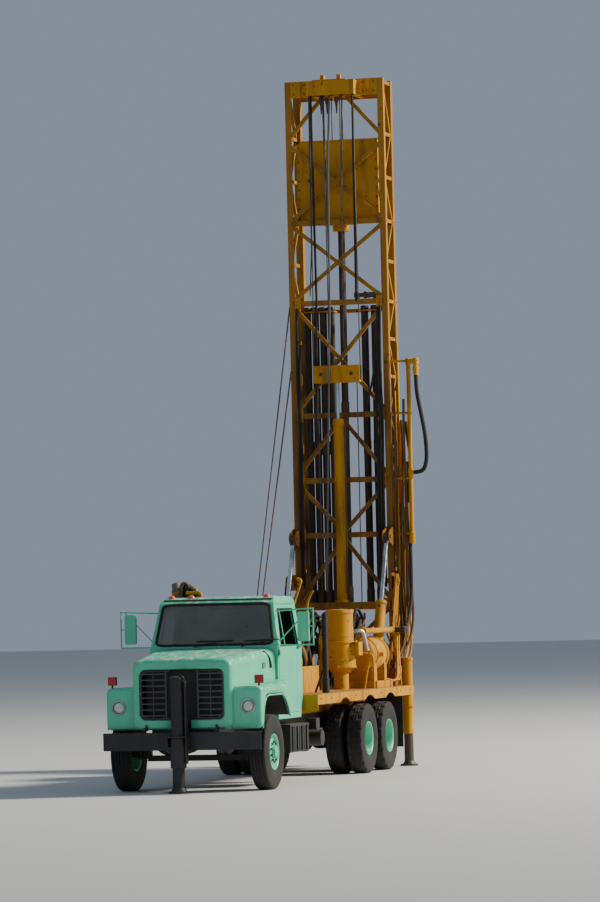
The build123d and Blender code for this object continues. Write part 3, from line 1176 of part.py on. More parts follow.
def drill_head():
    plate = block(-HEAD_X, HEAD_X, HEAD_Y, HEAD_Y + 14, HEAD_Z0, HEAD_Z1)
    top = block(-HEAD_X, HEAD_X, HEAD_Y, HEAD_Y + 130, HEAD_Z1 - 14, HEAD_Z1)
    low = block(-HEAD_X, HEAD_X, HEAD_Y, HEAD_Y + 130, HEAD_Z0, HEAD_Z0 + 60)
    ends = both(block(HEAD_X - 14, HEAD_X, HEAD_Y, HEAD_Y + 130, HEAD_Z0, HEAD_Z1))
    keep("head_carriage", joined([plate, top, low] + ends))
    gear = block(-GEARBOX_X, GEARBOX_X, HEAD_Y + 14, DRILL_Y + 165, HEAD_Z0 + 60, HEAD_Z0 + 560)
    motor = rod((0, DRILL_Y, HEAD_Z0 + 560), (0, DRILL_Y, HEAD_Z0 + 1050), 125)
    chuck = rod((0, DRILL_Y, HEAD_Z0 - 150), (0, DRILL_Y, HEAD_Z0 + 60), CHUCK_R)
    gear = joined([gear, motor, chuck]) - block(-HEAD_X, HEAD_X, HEAD_Y, HEAD_Y + 130, HEAD_Z0, HEAD_Z0 + 60)
    keep("rotary_head", gear)
    pipe = rod((0, DRILL_Y, PIPE_Z0), (0, DRILL_Y, HEAD_Z0 - 150), PIPE_R)
    keep("drill_pipe", pipe)


# Ropes, stays and hoses
def bent_tube(points, radius):
    """a round tube through a route, with every corner rounded as far as its runs allow"""
    corners = [Vector(*p) for p in points]
    radii = []
    for before, here, after in zip(corners, corners[1:], corners[2:]):
        turn = radians((here - before).get_angle(after - here))
        shorter = min((here - before).length, (after - here).length)
        radii.append(0.45 * shorter / tan(turn / 2))
    path = FilletPolyline(*points, radius=radii)
    start = Plane(origin=path @ 0, z_dir=path % 0)
    tube = sweep(start * Circle(radius), path=path)
    print("hose radii", [round(r) for r in radii], "length", round(path.length),
          "volume share", round(tube.volume / (pi * radius ** 2 * path.length), 4))
    return tube


def hoist_ropes():
    """ropes from the crown to the feed block, and on to the base and the head"""
    ropes = []
    block_z = (BLOCK_Z0 + BLOCK_Z1) / 2
    for sign in (1, -1):
        for edge in (1, -1):
            low_x = sign * SHEAVE_X + edge * (SHEAVE_R + ROPE_R + 0.3)
            high_x = sign * SHEAVE_X + edge * (CROWN_SHEAVE_R + ROPE_R + 0.3)
            ropes.append(rod((low_x, FEED_Y, block_z), (high_x, FEED_Y, CROWN_SHEAVE_Z), ROPE_R))
        x = sign * 90
        ropes.append(rod((x, HEAD_Y + 60, HEAD_Z1), (x, HEAD_Y + 60, MAST_Z1 - CROWN_H), ROPE_R))
        x = sign * 330
        ropes.append(rod((x, FEED_Y, BASE_BEAM_Z + 45), (x, FEED_Y, BLOCK_Z0), ROPE_R))
    keep("hoist_ropes", *ropes)


def stays():
    """two taut stays from the passenger's side of the mast to the deck"""
    lines = []
    for high, y in zip((7540, 6480), STAY_FEET):
        top = (-MAST_X - 10, MAST_Y0 + 60, high)
        foot = (-1130, y, DECK_Z + STAY_LUG_H + 3)
        lines.append(rod(foot, top, 9))
    keep("mast_stays", *lines)


def standpipe():
    """the air pipe up the driver's side of the mast, its gooseneck and brackets"""
    x, y = PIPE_X, PIPE_Y
    pipe = rod((x, y, 3650), (x, y, PIPE_TOP), PIPE_TUBE_R)
    neck = rod((x - PIPE_TUBE_R - 6, y, PIPE_TOP), (SPOUT_X, y, PIPE_TOP), PIPE_TUBE_R + 6)
    union = rod((x, y, 3600), (x, y, 3800), PIPE_TUBE_R + 14)
    spout = rod((SPOUT_X, y, PIPE_TOP + 44), (SPOUT_X, y, HOSE_TOP_Z), PIPE_TUBE_R + 10)
    side = rod((x, y, HOSE_END_Z), (x + 53, y, HOSE_END_Z), PIPE_TUBE_R + 6)
    arms = [block(MAST_X, x, y - 25, y + 25, z - 12, z + 12)
            for z in (LEVELS[2], LEVELS[3], LEVELS[4], PIPE_TOP)]
    keep("standpipe", joined([pipe, neck, union, spout, side] + arms))


def rotary_hose():
    """the black hose that hangs in a loop from the gooseneck to the standpipe"""
    y = PIPE_Y
    far = SPOUT_X + 150
    route = [(SPOUT_X, y, HOSE_TOP_Z), (SPOUT_X, y, 6100), (SPOUT_X + 58, y, 5800), (SPOUT_X + 123, y, 5450),
             (far, y, 5180), (far, y, 4960), (far - 40, y, 4810), (SPOUT_X + 28, y, HOSE_END_Z),
             (PIPE_X + 53, y, HOSE_END_Z)]
    keep("rotary_hose", bent_tube(route, HOSE_R))


def mast_hoses():
    """the hoses clipped down the driver's side of the mast, over the pin to the deck"""
    runs = []
    for i, (x, y, top) in enumerate(((880, 8830, 6100), (935, 8900, 5600), (895, 9000, 6900),
                                     (960, 9080, 4900))):
        port_z = DECK_Z + 100 + i * 45
        route = [(x, y, top), (x + 4, y, 3600), (x, y - 10, 3000), (x + 20, y - 30, 2450),
                 (1010 + i * 8, 8720, 1950 + i * 20), (984, 8430, port_z + 170), (984, 8200, port_z),
                 (984, BANK_Y1, port_z)]
        runs.append(bent_tube(route, 20))
    keep("mast_hoses", *runs)


def build():
    wheels()
    keep("truck_springs", *front_axle(), *tandem_springs())
    knuckles()
    rear_axles()
    chassis()
    bumper()
    hood()
    grille()
    lamps()
    cab()
    cab_inside()
    doors()
    engine_bay()
    steps_and_tanks()
    deck()
    jacks()
    mast_stand()
    headrest()
    deck_engine()
    compressor()
    air_cleaner()
    receiver()
    stack_and_pipes()
    oil_tank()
    mast_front()
    mast_sides()
    crown()
    mast_base()
    raising_cylinders()
    feed()
    drill_head()
    hoist_ropes()
    stays()
    standpipe()
    rotary_hose()
    mast_hoses()


build()
os.makedirs("parts", exist_ok=True)
for name, solids in parts.items():
    shape = Compound(children=[Pos(0, -MID_Y, 0) * s for s in solids])
    export_step(shape, f"parts/{name}.step")
print("nodes", len(parts), "middle", MID_Y)
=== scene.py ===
import math
import random

import bmesh
import bpy
from mathutils import Matrix, Vector


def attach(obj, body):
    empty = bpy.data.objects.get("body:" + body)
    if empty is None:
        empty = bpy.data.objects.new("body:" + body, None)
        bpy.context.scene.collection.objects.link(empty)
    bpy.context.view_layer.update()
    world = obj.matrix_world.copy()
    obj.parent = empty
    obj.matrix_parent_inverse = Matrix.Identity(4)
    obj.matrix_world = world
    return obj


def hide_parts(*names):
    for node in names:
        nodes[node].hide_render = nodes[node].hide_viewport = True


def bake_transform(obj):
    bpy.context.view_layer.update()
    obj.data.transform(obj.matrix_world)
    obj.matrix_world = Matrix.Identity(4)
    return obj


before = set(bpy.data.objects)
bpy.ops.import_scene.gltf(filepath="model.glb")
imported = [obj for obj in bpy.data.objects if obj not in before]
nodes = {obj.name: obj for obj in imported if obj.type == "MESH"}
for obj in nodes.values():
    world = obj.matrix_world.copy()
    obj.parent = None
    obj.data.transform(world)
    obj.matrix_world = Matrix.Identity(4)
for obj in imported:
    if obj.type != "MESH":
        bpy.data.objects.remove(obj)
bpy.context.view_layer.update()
midY = 4.1015  # the frame's origin lies this far behind the front axle


def at(x, y, z):
    return Vector((x, y - midY, z))  # y counts from the front axle


def tone(red, green, blue):
    parts = []
    for value in (red, green, blue):
        v = value / 255
        parts.append(v / 12.92 if v <= 0.04045 else ((v + 0.055) / 1.055) ** 2.4)
    return (*parts, 1.0)


def linked(name, data):
    made = bpy.data.objects.new(name, data)
    bpy.context.scene.collection.objects.link(made)
    return made


# camera, at the photo's viewing angle
view = {"lens": 176.31, "place": (18.117, -65.4, 2.675), "turn": 15.053, "pitch": 1.965, "roll": -1.299}


def makeCamera():
    turn, pitch, roll = (math.radians(view[k]) for k in ("turn", "pitch", "roll"))
    ahead = Vector((-math.sin(turn), math.cos(turn), 0))
    side = Vector((math.cos(turn), math.sin(turn), 0))
    up = Vector((0, 0, 1))
    look = ahead * math.cos(pitch) + up * math.sin(pitch)
    top = up * math.cos(pitch) - ahead * math.sin(pitch)
    side, top = side * math.cos(roll) + top * math.sin(roll), top * math.cos(roll) - side * math.sin(roll)
    data = bpy.data.cameras.new("camera")
    data.lens = view["lens"]
    data.clip_end = 400
    camera = linked("camera", data)
    matrix = Matrix((side, top, -look)).transposed().to_4x4()
    matrix.translation = Vector(view["place"])
    camera.matrix_world = matrix
    bpy.context.scene.camera = camera


makeCamera()
print("camera set")


# shader maths
class Wire:
    def __init__(self, tree, socket=None):
        self.tree = tree
        self.socket = socket

    def add(self, kind, settings=None, values=None, output=0):
        node = self.tree.nodes.new("ShaderNode" + kind)
        for key, value in (settings or {}).items():
            setattr(node, key, value)
        feed(node, values or {})
        return Wire(self.tree, node.outputs[output])

    def maths(self, operation, first, second=0.0):
        return self.add("Math", {"operation": operation}, {0: first, 1: second})

    def __add__(self, other):
        return self.maths("ADD", self, other)

    __radd__ = __add__

    def __sub__(self, other):
        return self.maths("SUBTRACT", self, other)

    def __rsub__(self, other):
        return self.maths("SUBTRACT", other, self)

    def __mul__(self, other):
        return self.maths("MULTIPLY", self, other)

    def over(self, low, high):
        return self.add("MapRange", {"clamp": True}, {"Value": self, "From Min": low, "From Max": high})

    def tint(self, under, top):
        return self.add("Mix", {"data_type": "RGBA"}, {0: self, 6: under, 7: top}, 2)

    def part(self, axis):
        return self.add("SeparateXYZ", None, {0: self}, "XYZ".index(axis))

    def stretch(self, x, y, z):
        return self.add("VectorMath", {"operation": "MULTIPLY"}, {0: self, 1: (x, y, z)})

    def noise(self, scale, detail=3.0, rough=0.55):
        return self.add("TexNoise", None,
                        {"Vector": self, "Scale": scale, "Detail": detail, "Roughness": rough})


def newMaterial(name):
    material = bpy.data.materials.new(name)
    material.use_nodes = True
    tree = material.node_tree
    tree.nodes.clear()
    shader = tree.nodes.new("ShaderNodeBsdfPrincipled")
    out = tree.nodes.new("ShaderNodeOutputMaterial")
    tree.links.new(shader.outputs[0], out.inputs[0])
    return material, shader, Wire(tree)


def feed(node, values):
    for key, value in values.items():
        if isinstance(value, Wire):
            value.tree.links.new(value.socket, node.inputs[key])
        else:
            node.inputs[key].default_value = value


cabLook = {"sill": 2.09, "head": 2.675, "lowHalf": 0.889, "highHalf": 0.803, "lowY": 0.964, "highY": 1.129,
           "side": 0.97, "belt": 2.05, "lean": 0.16, "wall": 0.03, "sillDepth": 0.045, "roof": 2.75,
           "back": 2.27}
# heights between which the mast's darker streaked band fades out, above and below
darkBandHeights = {"top": (7.6, 5.6), "foot": (2.5, 2.9)}


def wornPaint(name, look):
    material, shader, wire = newMaterial(name)
    place = wire.add("TexCoord", output="Object")
    up = wire.add("NewGeometry", output="Normal").part("Z")
    cloud = place.noise(0.8, 4, 0.6)
    speck = place.noise(9, 8, 0.68)
    grain = place.noise(70, 4, 0.6)
    runs = place.stretch(1, 1, 0.12).noise(5, 5, 0.62)
    paint = cloud.over(0.35, 0.7).tint(look["colour"], look["faded"])
    paint = (grain.over(0.4, 0.75) * 0.35).tint(paint, look["deep"])
    # pale patches on upward faces: dust on most paints, and on the mint paint a painted highlight
    dust = up.over(0.35, 0.95) * speck.over(*look["dustAndHighlightEdge"]) * look["dustAmount"]
    paint = dust.tint(paint, look["dust"])
    stain = runs.over(0.52, 0.78) * look["stainAmount"]
    paint = stain.tint(paint, look["stain"])
    wear = speck * 0.72 + cloud * 0.28
    if "darkBand" in look:
        height = place.part("Z")
        band = height.over(*darkBandHeights["top"]) * height.over(*darkBandHeights["foot"]) * runs.over(0.3, 0.62)
        paint = (band * look["darkBand"]).tint(paint, look["stain"])
    rust = wear.over(look["rustFrom"], look["rustFrom"] + 0.045)
    rustTone = grain.over(0.3, 0.7).tint(look["rust"], look["rustDark"])
    paint = rust.tint(paint, rustTone)
    rough = look["rough"] + rust * 0.35 + dust * 0.3 + grain * 0.06
    bump = wire.add("Bump", None, {"Strength": look["bump"], "Distance": 0.004,
                                   "Height": grain * 0.35 + rust * 0.5 + cloud * 0.15})
    if "insideShade" in look:
        # the space behind the cab walls gets painted shade: the shell's inner faces are tinted dark
        c = cabLook
        x, y, z = place.part("X"), place.part("Y"), place.part("Z")
        half = c["side"] - c["wall"] - z.over(c["belt"], c["belt"] + 1) * c["lean"]
        front = c["lowY"] + c["sillDepth"] - midY + z.over(c["sill"], c["head"]) * (c["highY"] - c["lowY"])
        shadedRoom = (half * half - x * x).over(0, 0.01) * (y - front).over(0, 0.01)
        shadedRoom = shadedRoom * z.over(c["roof"] + 0.01, c["roof"])
        back = c["back"] - midY
        paint = (shadedRoom * y.over(back + 0.01, back)).tint(paint, look["insideShade"])
    feed(shader, {"Base Color": paint, "Roughness": rough, "Normal": bump, "Metallic": 0.0,
                  "Specular IOR Level": look["specular"]})
    material.diffuse_color = look["colour"]
    return material


# the mint's pale upward patches (dust colour, amount and edge) are painted highlight
mintLook = {"colour": tone(70, 190, 148), "faded": tone(104, 208, 172), "deep": tone(52, 164, 124),
            "dust": tone(226, 236, 220), "dustAmount": 0.8, "dustAndHighlightEdge": (0.51, 0.6),
            # insideShade is painted shade for the inner faces of the cab
            "insideShade": tone(26, 34, 31), "stain": tone(96, 118, 92), "stainAmount": 0.35,
            "rust": tone(112, 62, 40), "rustDark": tone(66, 38, 28), "rustFrom": 0.635, "rough": 0.34,
            "bump": 0.12, "specular": 0.5}
yellowLook = {"colour": tone(184, 124, 6), "faded": tone(208, 150, 14), "deep": tone(120, 78, 8),
              "dustAndHighlightEdge": (0.3, 0.62), "dust": tone(184, 136, 60), "dustAmount": 0.3,
              "stain": tone(74, 48, 24), "stainAmount": 0.9, "rust": tone(96, 56, 30),
              "rustDark": tone(50, 32, 22), "rustFrom": 0.6, "rough": 0.5, "specular": 0.25, "bump": 0.3}
# the mast paint is a darker copy of the yellow paint: painted shade
mastShadeLook = {**yellowLook, "colour": tone(150, 102, 22), "faded": tone(172, 122, 34), "darkBand": 0.72}
deckLook = {**yellowLook, "dust": tone(140, 104, 76), "dustAmount": 1.0, "rustFrom": 0.585}
engineLook = {**yellowLook, "colour": tone(140, 90, 10), "faded": tone(170, 116, 18),
              "deep": tone(70, 44, 14), "stain": tone(30, 20, 14), "stainAmount": 1.0, "rustFrom": 0.54}
blackLook = {"colour": tone(30, 31, 34), "faded": tone(50, 51, 53), "deep": tone(16, 16, 18),
             "dustAndHighlightEdge": (0.3, 0.62), "specular": 0.4, "dust": tone(118, 108, 92), "dustAmount": 0.5,
             "stain": tone(70, 62, 52), "stainAmount": 0.35, "rust": tone(84, 56, 40),
             "rustDark": tone(48, 34, 27), "rustFrom": 0.63, "rough": 0.5, "bump": 0.3}
steelLook = {"colour": tone(60, 52, 47), "faded": tone(82, 70, 62), "deep": tone(34, 30, 28),
             "dustAndHighlightEdge": (0.3, 0.62), "specular": 0.4, "dust": tone(120, 100, 80), "dustAmount": 0.3,
             "stain": tone(80, 56, 40), "stainAmount": 0.6, "rust": tone(104, 70, 48),
             "rustDark": tone(56, 38, 28), "rustFrom": 0.54, "rough": 0.45, "bump": 0.35}
footLook = {**blackLook, "faded": tone(62, 58, 58), "rustFrom": 0.58, "rust": tone(84, 54, 42),
            "stainAmount": 0.3}
greyLook = {**blackLook, "colour": tone(58, 64, 68), "faded": tone(84, 92, 96), "deep": tone(40, 44, 48),
            "dustAmount": 0.2, "rustFrom": 0.62}
pipeLook = {**steelLook, "colour": tone(44, 37, 32), "faded": tone(60, 50, 42), "deep": tone(24, 20, 18)}
castLook = {**steelLook, "colour": tone(44, 40, 38), "rustFrom": 0.57}
ropeLook = {**steelLook, "colour": tone(70, 62, 54), "faded": tone(98, 86, 74), "stainAmount": 0.3}


def chromeFinish(name, look):
    material, shader, wire = newMaterial(name)
    place = wire.add("TexCoord", output="Object")
    streak = place.stretch(1, 1, 0.05).noise(30, 5, 0.6)
    smear = place.noise(3, 4, 0.6)
    colour = smear.over(0.45, 0.75).tint(look["colour"], look["film"])
    rough = look["rough"] + streak.over(0.4, 0.8) * 0.22
    feed(shader, {"Base Color": colour, "Roughness": rough, "Metallic": 1.0})
    return material


def rubberFinish(name, look):
    material, shader, wire = newMaterial(name)
    place = wire.add("TexCoord", output="Object")
    up = wire.add("NewGeometry", output="Normal").part("Z")
    cloud = place.noise(3.5, 5, 0.62)
    grain = place.noise(90, 3, 0.5)
    low = 1 - place.part("Z").over(0.0, look["mudHeight"])
    dust = cloud.over(0.38, 0.72) * look["dustAmount"] + low * 0.18 + up.over(0.3, 1) * 0.2
    colour = dust.tint(grain.tint(look["colour"], look["worn"]), look["dust"])
    bump = wire.add("Bump", None, {"Strength": 0.25, "Distance": 0.002, "Height": grain + cloud * 0.5})
    feed(shader, {"Base Color": colour, "Roughness": 0.7 + cloud * 0.25, "Normal": bump,
                  "Specular IOR Level": 0.3})
    return material


def glassFinish(name, look):
    material, shader, wire = newMaterial(name)
    place = wire.add("TexCoord", output="Object")
    film = place.noise(2.2, 5, 0.6).over(0.35, 0.8)
    feed(shader, {"Base Color": film.tint(look["colour"], look["film"]), "Roughness": 0.04 + film * 0.2,
                  "Alpha": film * 0.25 + look["alpha"], "IOR": 1.45, "Specular IOR Level": 0.6})
    return material


def lensFinish(name, look):
    material, shader, wire = newMaterial(name)
    place = wire.add("TexCoord", output="Object")
    ribs = place.add("TexWave", {"wave_type": "BANDS", "bands_direction": "X"},
                     {"Vector": place, "Scale": look["ribs"]}, 1)
    dirt = place.noise(14, 5, 0.6).over(0.45, 0.8)
    bump = wire.add("Bump", None, {"Strength": 0.3, "Distance": 0.002, "Height": ribs})
    feed(shader, {"Base Color": (dirt * 0.4).tint(look["colour"], look["dirt"]),
                  "Roughness": 0.12 + dirt * 0.3, "Normal": bump, "Coat Weight": 0.6,
                  "Specular IOR Level": 0.6})
    return material


mint = wornPaint("mintPaint", mintLook)
yellow = wornPaint("yellowPaint", yellowLook)
enginePaint = wornPaint("enginePaint", engineLook)
mastShadedPaint = wornPaint("mastShadedPaint", mastShadeLook)
deckPaint = wornPaint("deckPaint", deckLook)
black = wornPaint("blackPaint", blackLook)
steel = wornPaint("drillSteel", steelLook)
cast = wornPaint("castMetal", castLook)
rope = wornPaint("wireRope", ropeLook)
jackPaint = wornPaint("jackPaint", footLook)
grilleGrey = wornPaint("grilleGrey", greyLook)
pipeSteel = wornPaint("pipeSteel", pipeLook)
chrome = chromeFinish("chromeRod", {"colour": tone(214, 218, 224), "film": tone(150, 146, 140),
                                    "rough": 0.14})
silver = chromeFinish("pipeSilver", {"colour": tone(190, 188, 182), "film": tone(120, 112, 98),
                                     "rough": 0.35})
tyreRubber = rubberFinish("tyreRubber", {"colour": tone(24, 25, 27), "worn": tone(42, 43, 45),
                                         "mudHeight": 0.5, "dust": tone(92, 86, 76), "dustAmount": 0.16})
hoseRubber = rubberFinish("hoseRubber", {"colour": tone(26, 26, 27), "worn": tone(44, 43, 43),
                                         "mudHeight": 0.01, "dust": tone(110, 98, 80), "dustAmount": 0.18})
cableGrey = rubberFinish("cableGrey", {"colour": tone(86, 84, 84), "worn": tone(120, 116, 112),
                                       "mudHeight": 0.01, "dust": tone(112, 96, 74), "dustAmount": 0.2})
# the window glass is a mostly opaque near-black sheet: its dark colour is painted shade of the cab behind it
windowGlass = glassFinish("windowGlass", {"colour": tone(34, 44, 44), "film": tone(96, 92, 80),
                                          "alpha": 0.66})
amber = lensFinish("amberLens", {"colour": tone(222, 96, 20), "dirt": tone(120, 60, 30), "ribs": 60})
red = lensFinish("redLens", {"colour": tone(176, 34, 16), "dirt": tone(90, 30, 20), "ribs": 60})
clearLens = lensFinish("headlightLens", {"colour": tone(196, 202, 200), "dirt": tone(130, 124, 110),
                                         "ribs": 30})
hoseBrown = rubberFinish("hoseBrown", {"colour": tone(78, 54, 28), "worn": tone(116, 82, 40),
                                       "mudHeight": 0.01, "dust": tone(96, 70, 46), "dustAmount": 0.5})
vinyl = rubberFinish("seatVinyl", {"colour": tone(40, 34, 30), "worn": tone(66, 56, 48), "mudHeight": 0.01,
                                   "dust": tone(120, 100, 76), "dustAmount": 0.3})
print("materials made")

finishes = {
    mint: ("hood", "cab_shell", "left_door", "right_door"),
    enginePaint: ("deck_engine", "compressor", "mast_stand"),
    yellow: ("jack_tubes", "mast_headrest", "air_cleaner", "air_receiver", "oil_tank", "crown", "drill_table",
             "rod_racks", "raise_barrels", "feed_cylinder", "feed_block", "head_carriage", "rotary_head",
             "standpipe"),
    mastShadedPaint: ("mast_front_face", "mast_left_face", "mast_right_face"),
    deckPaint: ("deck",),
    black: ("chassis_frame", "front_bumper", "grille", "front_axle", "left_knuckle", "right_knuckle",
            "truck_springs", "left_step_tank", "right_fuel_tank", "air_reservoir", "exhaust_stack",
            "dashboard", "front_jack_leg", "truck_engine"),
    steel: ("rear_left_jack_leg", "rear_right_jack_leg"),
    pipeSteel: ("stored_rods", "drill_pipe"),
    cast: ("drive_axles",),
    silver: ("air_line",),
    chrome: ("raise_rods",),
    rope: ("hoist_ropes", "mast_stays"),
    tyreRubber: ("front_left_wheel", "front_right_wheel", "mid_left_wheels", "mid_right_wheels",
                 "rear_left_wheels", "rear_right_wheels"),
    hoseRubber: ("rotary_hose", "mast_hoses", "mud_flaps"),
    windowGlass: ("cab_glass",),
    clearLens: ("lamps",),
    vinyl: ("bench_seat",),
}
for material, names in finishes.items():
    for name in names:
        data = nodes[name].data
        data.materials.clear()
        data.materials.append(material)
print("frame painted")


# mesh helpers
def addPiece(name, data, material, body, smooth=False):
    piece = linked(name, data)
    data.materials.append(material)
    if smooth:
        data.shade_smooth()
    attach(piece, body)
    return piece


def meshPiece(name, work, material, body, smooth=False):
    data = bpy.data.meshes.new(name)
    work.to_mesh(data)
    work.free()
    return addPiece(name, data, material, body, smooth)


def lineCurve(name, routes, radius, soft, sides, steps):
    curve = bpy.data.curves.new(name, "CURVE")
    curve.dimensions = "3D"
    curve.bevel_depth = radius
    curve.bevel_resolution = sides
    curve.use_fill_caps = True
    curve.resolution_u = steps
    for route in routes:
        spline = curve.splines.new("NURBS" if soft else "POLY")
        spline.points.add(len(route) - 1)
        for point, place in zip(spline.points, route):
            point.co = (*place, 1)
        if soft:
            spline.order_u = 3
            spline.use_endpoint_u = True
    return curve


def tubes(name, routes, radius, material, body, soft=True, sides=3):
    return addPiece(name, lineCurve(name, routes, radius, soft, sides, 6), material, body)


def spokes(axis, count):
    # the unit axis, and unit directions square to it that go round it
    axis = Vector(axis).normalized()
    first = axis.orthogonal().normalized()
    second = axis.cross(first)
    turns = [2 * math.pi * i / count for i in range(count)]
    return axis, [first * math.cos(turn) + second * math.sin(turn) for turn in turns]


def skin(work, loops, closeEnd=False, closeStart=False):
    rows = [[work.verts.new(point) for point in loop] for loop in loops]
    for one, two in zip(rows, rows[1:]):
        for i in range(len(one)):
            j = (i + 1) % len(one)
            work.faces.new((one[i], one[j], two[j], two[i]))
    if closeEnd:
        work.faces.new(rows[-1])
    if closeStart:
        work.faces.new(list(reversed(rows[0])))


def turnedMesh(name, items, count):
    # each item is (rings, centre, axis), and rings are (distance along the axis, radius)
    data = bpy.data.meshes.new(name)
    work = bmesh.new()
    for rings, centre, axis in items:
        axis, outs = spokes(axis, count)
        skin(work, [[Vector(centre) + axis * along + out * max(radius, 1e-5) for out in outs]
                    for along, radius in rings])
    bmesh.ops.remove_doubles(work, verts=work.verts, dist=1e-4)
    bmesh.ops.recalc_face_normals(work, faces=work.faces)
    work.to_mesh(data)
    work.free()
    return data


def turned(name, items, material, body, count=64):
    piece = addPiece(name, turnedMesh(name, items, count), material, body, smooth=True)
    sharpen(piece)
    return piece


def sharpen(piece, angle=35):
    data = piece.data
    work = bmesh.new()
    work.from_mesh(data)
    limit = math.radians(angle)
    for edge in work.edges:
        edge.smooth = not (len(edge.link_faces) == 2 and edge.calc_face_angle(0) > limit)
    work.to_mesh(data)
    work.free()


def thicken(piece, thickness):
    piece.modifiers.new("wall", "SOLIDIFY").thickness = thickness


def boxes(name, places, material, body, bevel=0.004):
    # places are (x0, x1, y0, y1, z0, z1) behind the front axle
    work = bmesh.new()
    for x0, x1, y0, y1, z0, z1 in places:
        size = Vector((x1 - x0, y1 - y0, z1 - z0))
        middle = at((x0 + x1) / 2, (y0 + y1) / 2, (z0 + z1) / 2)
        for vert in bmesh.ops.create_cube(work, size=1)["verts"]:
            vert.co = Vector(a * b for a, b in zip(vert.co, size)) + middle
    if bevel:
        bmesh.ops.bevel(work, geom=work.edges[:], offset=bevel, segments=2, affect="EDGES", profile=0.6)
    return meshPiece(name, work, material, body)


def hexBolts(name, spots, body):
    # each spot is (base, axis, radius, height)
    work = bmesh.new()
    for base, axis, radius, height in spots:
        axis, outs = spokes(axis, 6)
        low = [base + out * radius for out in outs]
        high = [base + out * radius * 0.92 + axis * height for out in outs]
        skin(work, [low, high], closeEnd=True, closeStart=True)
    meshPiece(name, work, steel, body)


# the black hose that loops from the standpipe's gooseneck down to its lower clamp
hoseFacts = {"length": 1.736, "diameter": 0.068, "y": 8.76}


def makeRotaryHose():
    route = [(1.262, 6.34), (1.262, 6.1), (1.32, 5.8), (1.385, 5.45), (1.412, 5.18), (1.412, 4.96),
             (1.372, 4.81), (1.29, 4.76), (1.19, 4.76)]
    points = [at(x, hoseFacts["y"], z) for x, z in route]
    hose = tubes("rotaryHoseRubber", [points], hoseFacts["diameter"] / 2, hoseRubber, "mast", sides=6)
    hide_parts("rotary_hose")


makeRotaryHose()
print("hose hung")


# wheels
tyreLook = {"radius": 0.542, "width": 0.27, "bore": 0.256, "frontFace": 1.17, "rearFace": 1.19,
            "dualStep": 0.34, "lugDepth": 0.013, "around": 216}
axlePlaces = {"front": 0.0, "mid": 5.485, "rear": 6.799}


def tyreSkin(work, centreX, y, ribbed):
    half = tyreLook["width"] / 2
    top = tyreLook["radius"]
    bore = tyreLook["bore"]
    profile = [(-half + 0.046, bore + 0.002), (-half + 0.03, bore + 0.006), (-half + 0.02, bore + 0.02),
               (-half + 0.013, bore + 0.05), (-half + 0.004, bore + 0.085), (-half, bore + 0.12),
               (-half, bore + 0.15), (-half + 0.003, bore + 0.18), (-half + 0.007, bore + 0.21),
               (-half + 0.01, bore + 0.236), (-half + 0.013, bore + 0.252), (-half + 0.018, top - 0.026)]
    crownWidth = half - 0.02
    steps = 22
    tread = []
    for i in range(steps + 1):
        across = -1 + 2 * i / steps
        shoulder = 0.008 if abs(across) > 0.97 else 0
        tread.append((across * crownWidth, top - 0.006 * across * across - shoulder, across))
    count = tyreLook["around"]
    deep = tyreLook["lugDepth"]
    rings = [[(x, r)] * count for x, r in profile]
    for x, r, across in tread:
        wide = abs(across)
        ring = []
        for j in range(count):
            depth = 0
            if ribbed:
                zig = 0.035 * (abs((j % 8) / 4 - 1) - 0.5)
                if any(abs(across + zig - groove) < 0.06 for groove in (-0.62, -0.2, 0.2, 0.62)):
                    depth = deep
                if wide > 0.86 and j % 6 < 2:
                    depth = 0.007
            else:
                if wide > 0.34 and j % 12 < 4 or 0.3 < wide < 0.42:
                    depth = deep
                if wide < 0.07 or wide <= 0.3 and (j + 6) % 12 < 2:
                    depth = deep * 0.8
            ring.append((x, r - depth))
        rings.append(ring)
    rings += [[(-x, r)] * count for x, r in reversed(profile)]
    turns = [2 * math.pi * j / count for j in range(count)]
    skin(work, [[at(centreX + x, y + r * math.cos(turn), top + r * math.sin(turn))
                 for turn, (x, r) in zip(turns, ring)] for ring in rings])


# rims are (distance outward from the middle of the outer tyre, radius)
wheelLook = {"nuts": 10, "holeRing": 0.194, "holeRadius": 0.026,
             "front": {"nutRing": 0.142, "nutSeat": 0.1, "holeSeat": 0.0735},
             "rear": {"nutRing": 0.14, "nutSeat": -0.152, "holeSeat": -0.118}}
rims = {"front": [(-0.101, 0.236), (-0.101, 0.252), (-0.112, 0.262), (-0.116, 0.262), (-0.101, 0.25),
                  (0.098, 0.25), (0.11, 0.262), (0.116, 0.26), (0.112, 0.25), (0.096, 0.238), (0.074, 0.232),
                  (0.066, 0.214), (0.072, 0.196), (0.088, 0.17), (0.099, 0.15), (0.101, 0.118),
                  (0.101, 0.096), (0.112, 0.092), (0.146, 0.082), (0.152, 0.07), (0.156, 0.035),
                  (0.157, 0.0)],
        "rear": [(-0.101, 0.262), (-0.101, 0.24), (0.098, 0.24), (0.104, 0.262), (0.116, 0.26), (0.112, 0.25),
                 (0.096, 0.238), (0.05, 0.232), (-0.03, 0.23), (-0.084, 0.226), (-0.118, 0.2),
                 (-0.14, 0.178), (-0.15, 0.16), (-0.152, 0.12), (-0.1, 0.112), (-0.06, 0.104),
                 (-0.03, 0.094), (-0.022, 0.08), (-0.02, 0.04), (-0.02, 0.0)]}


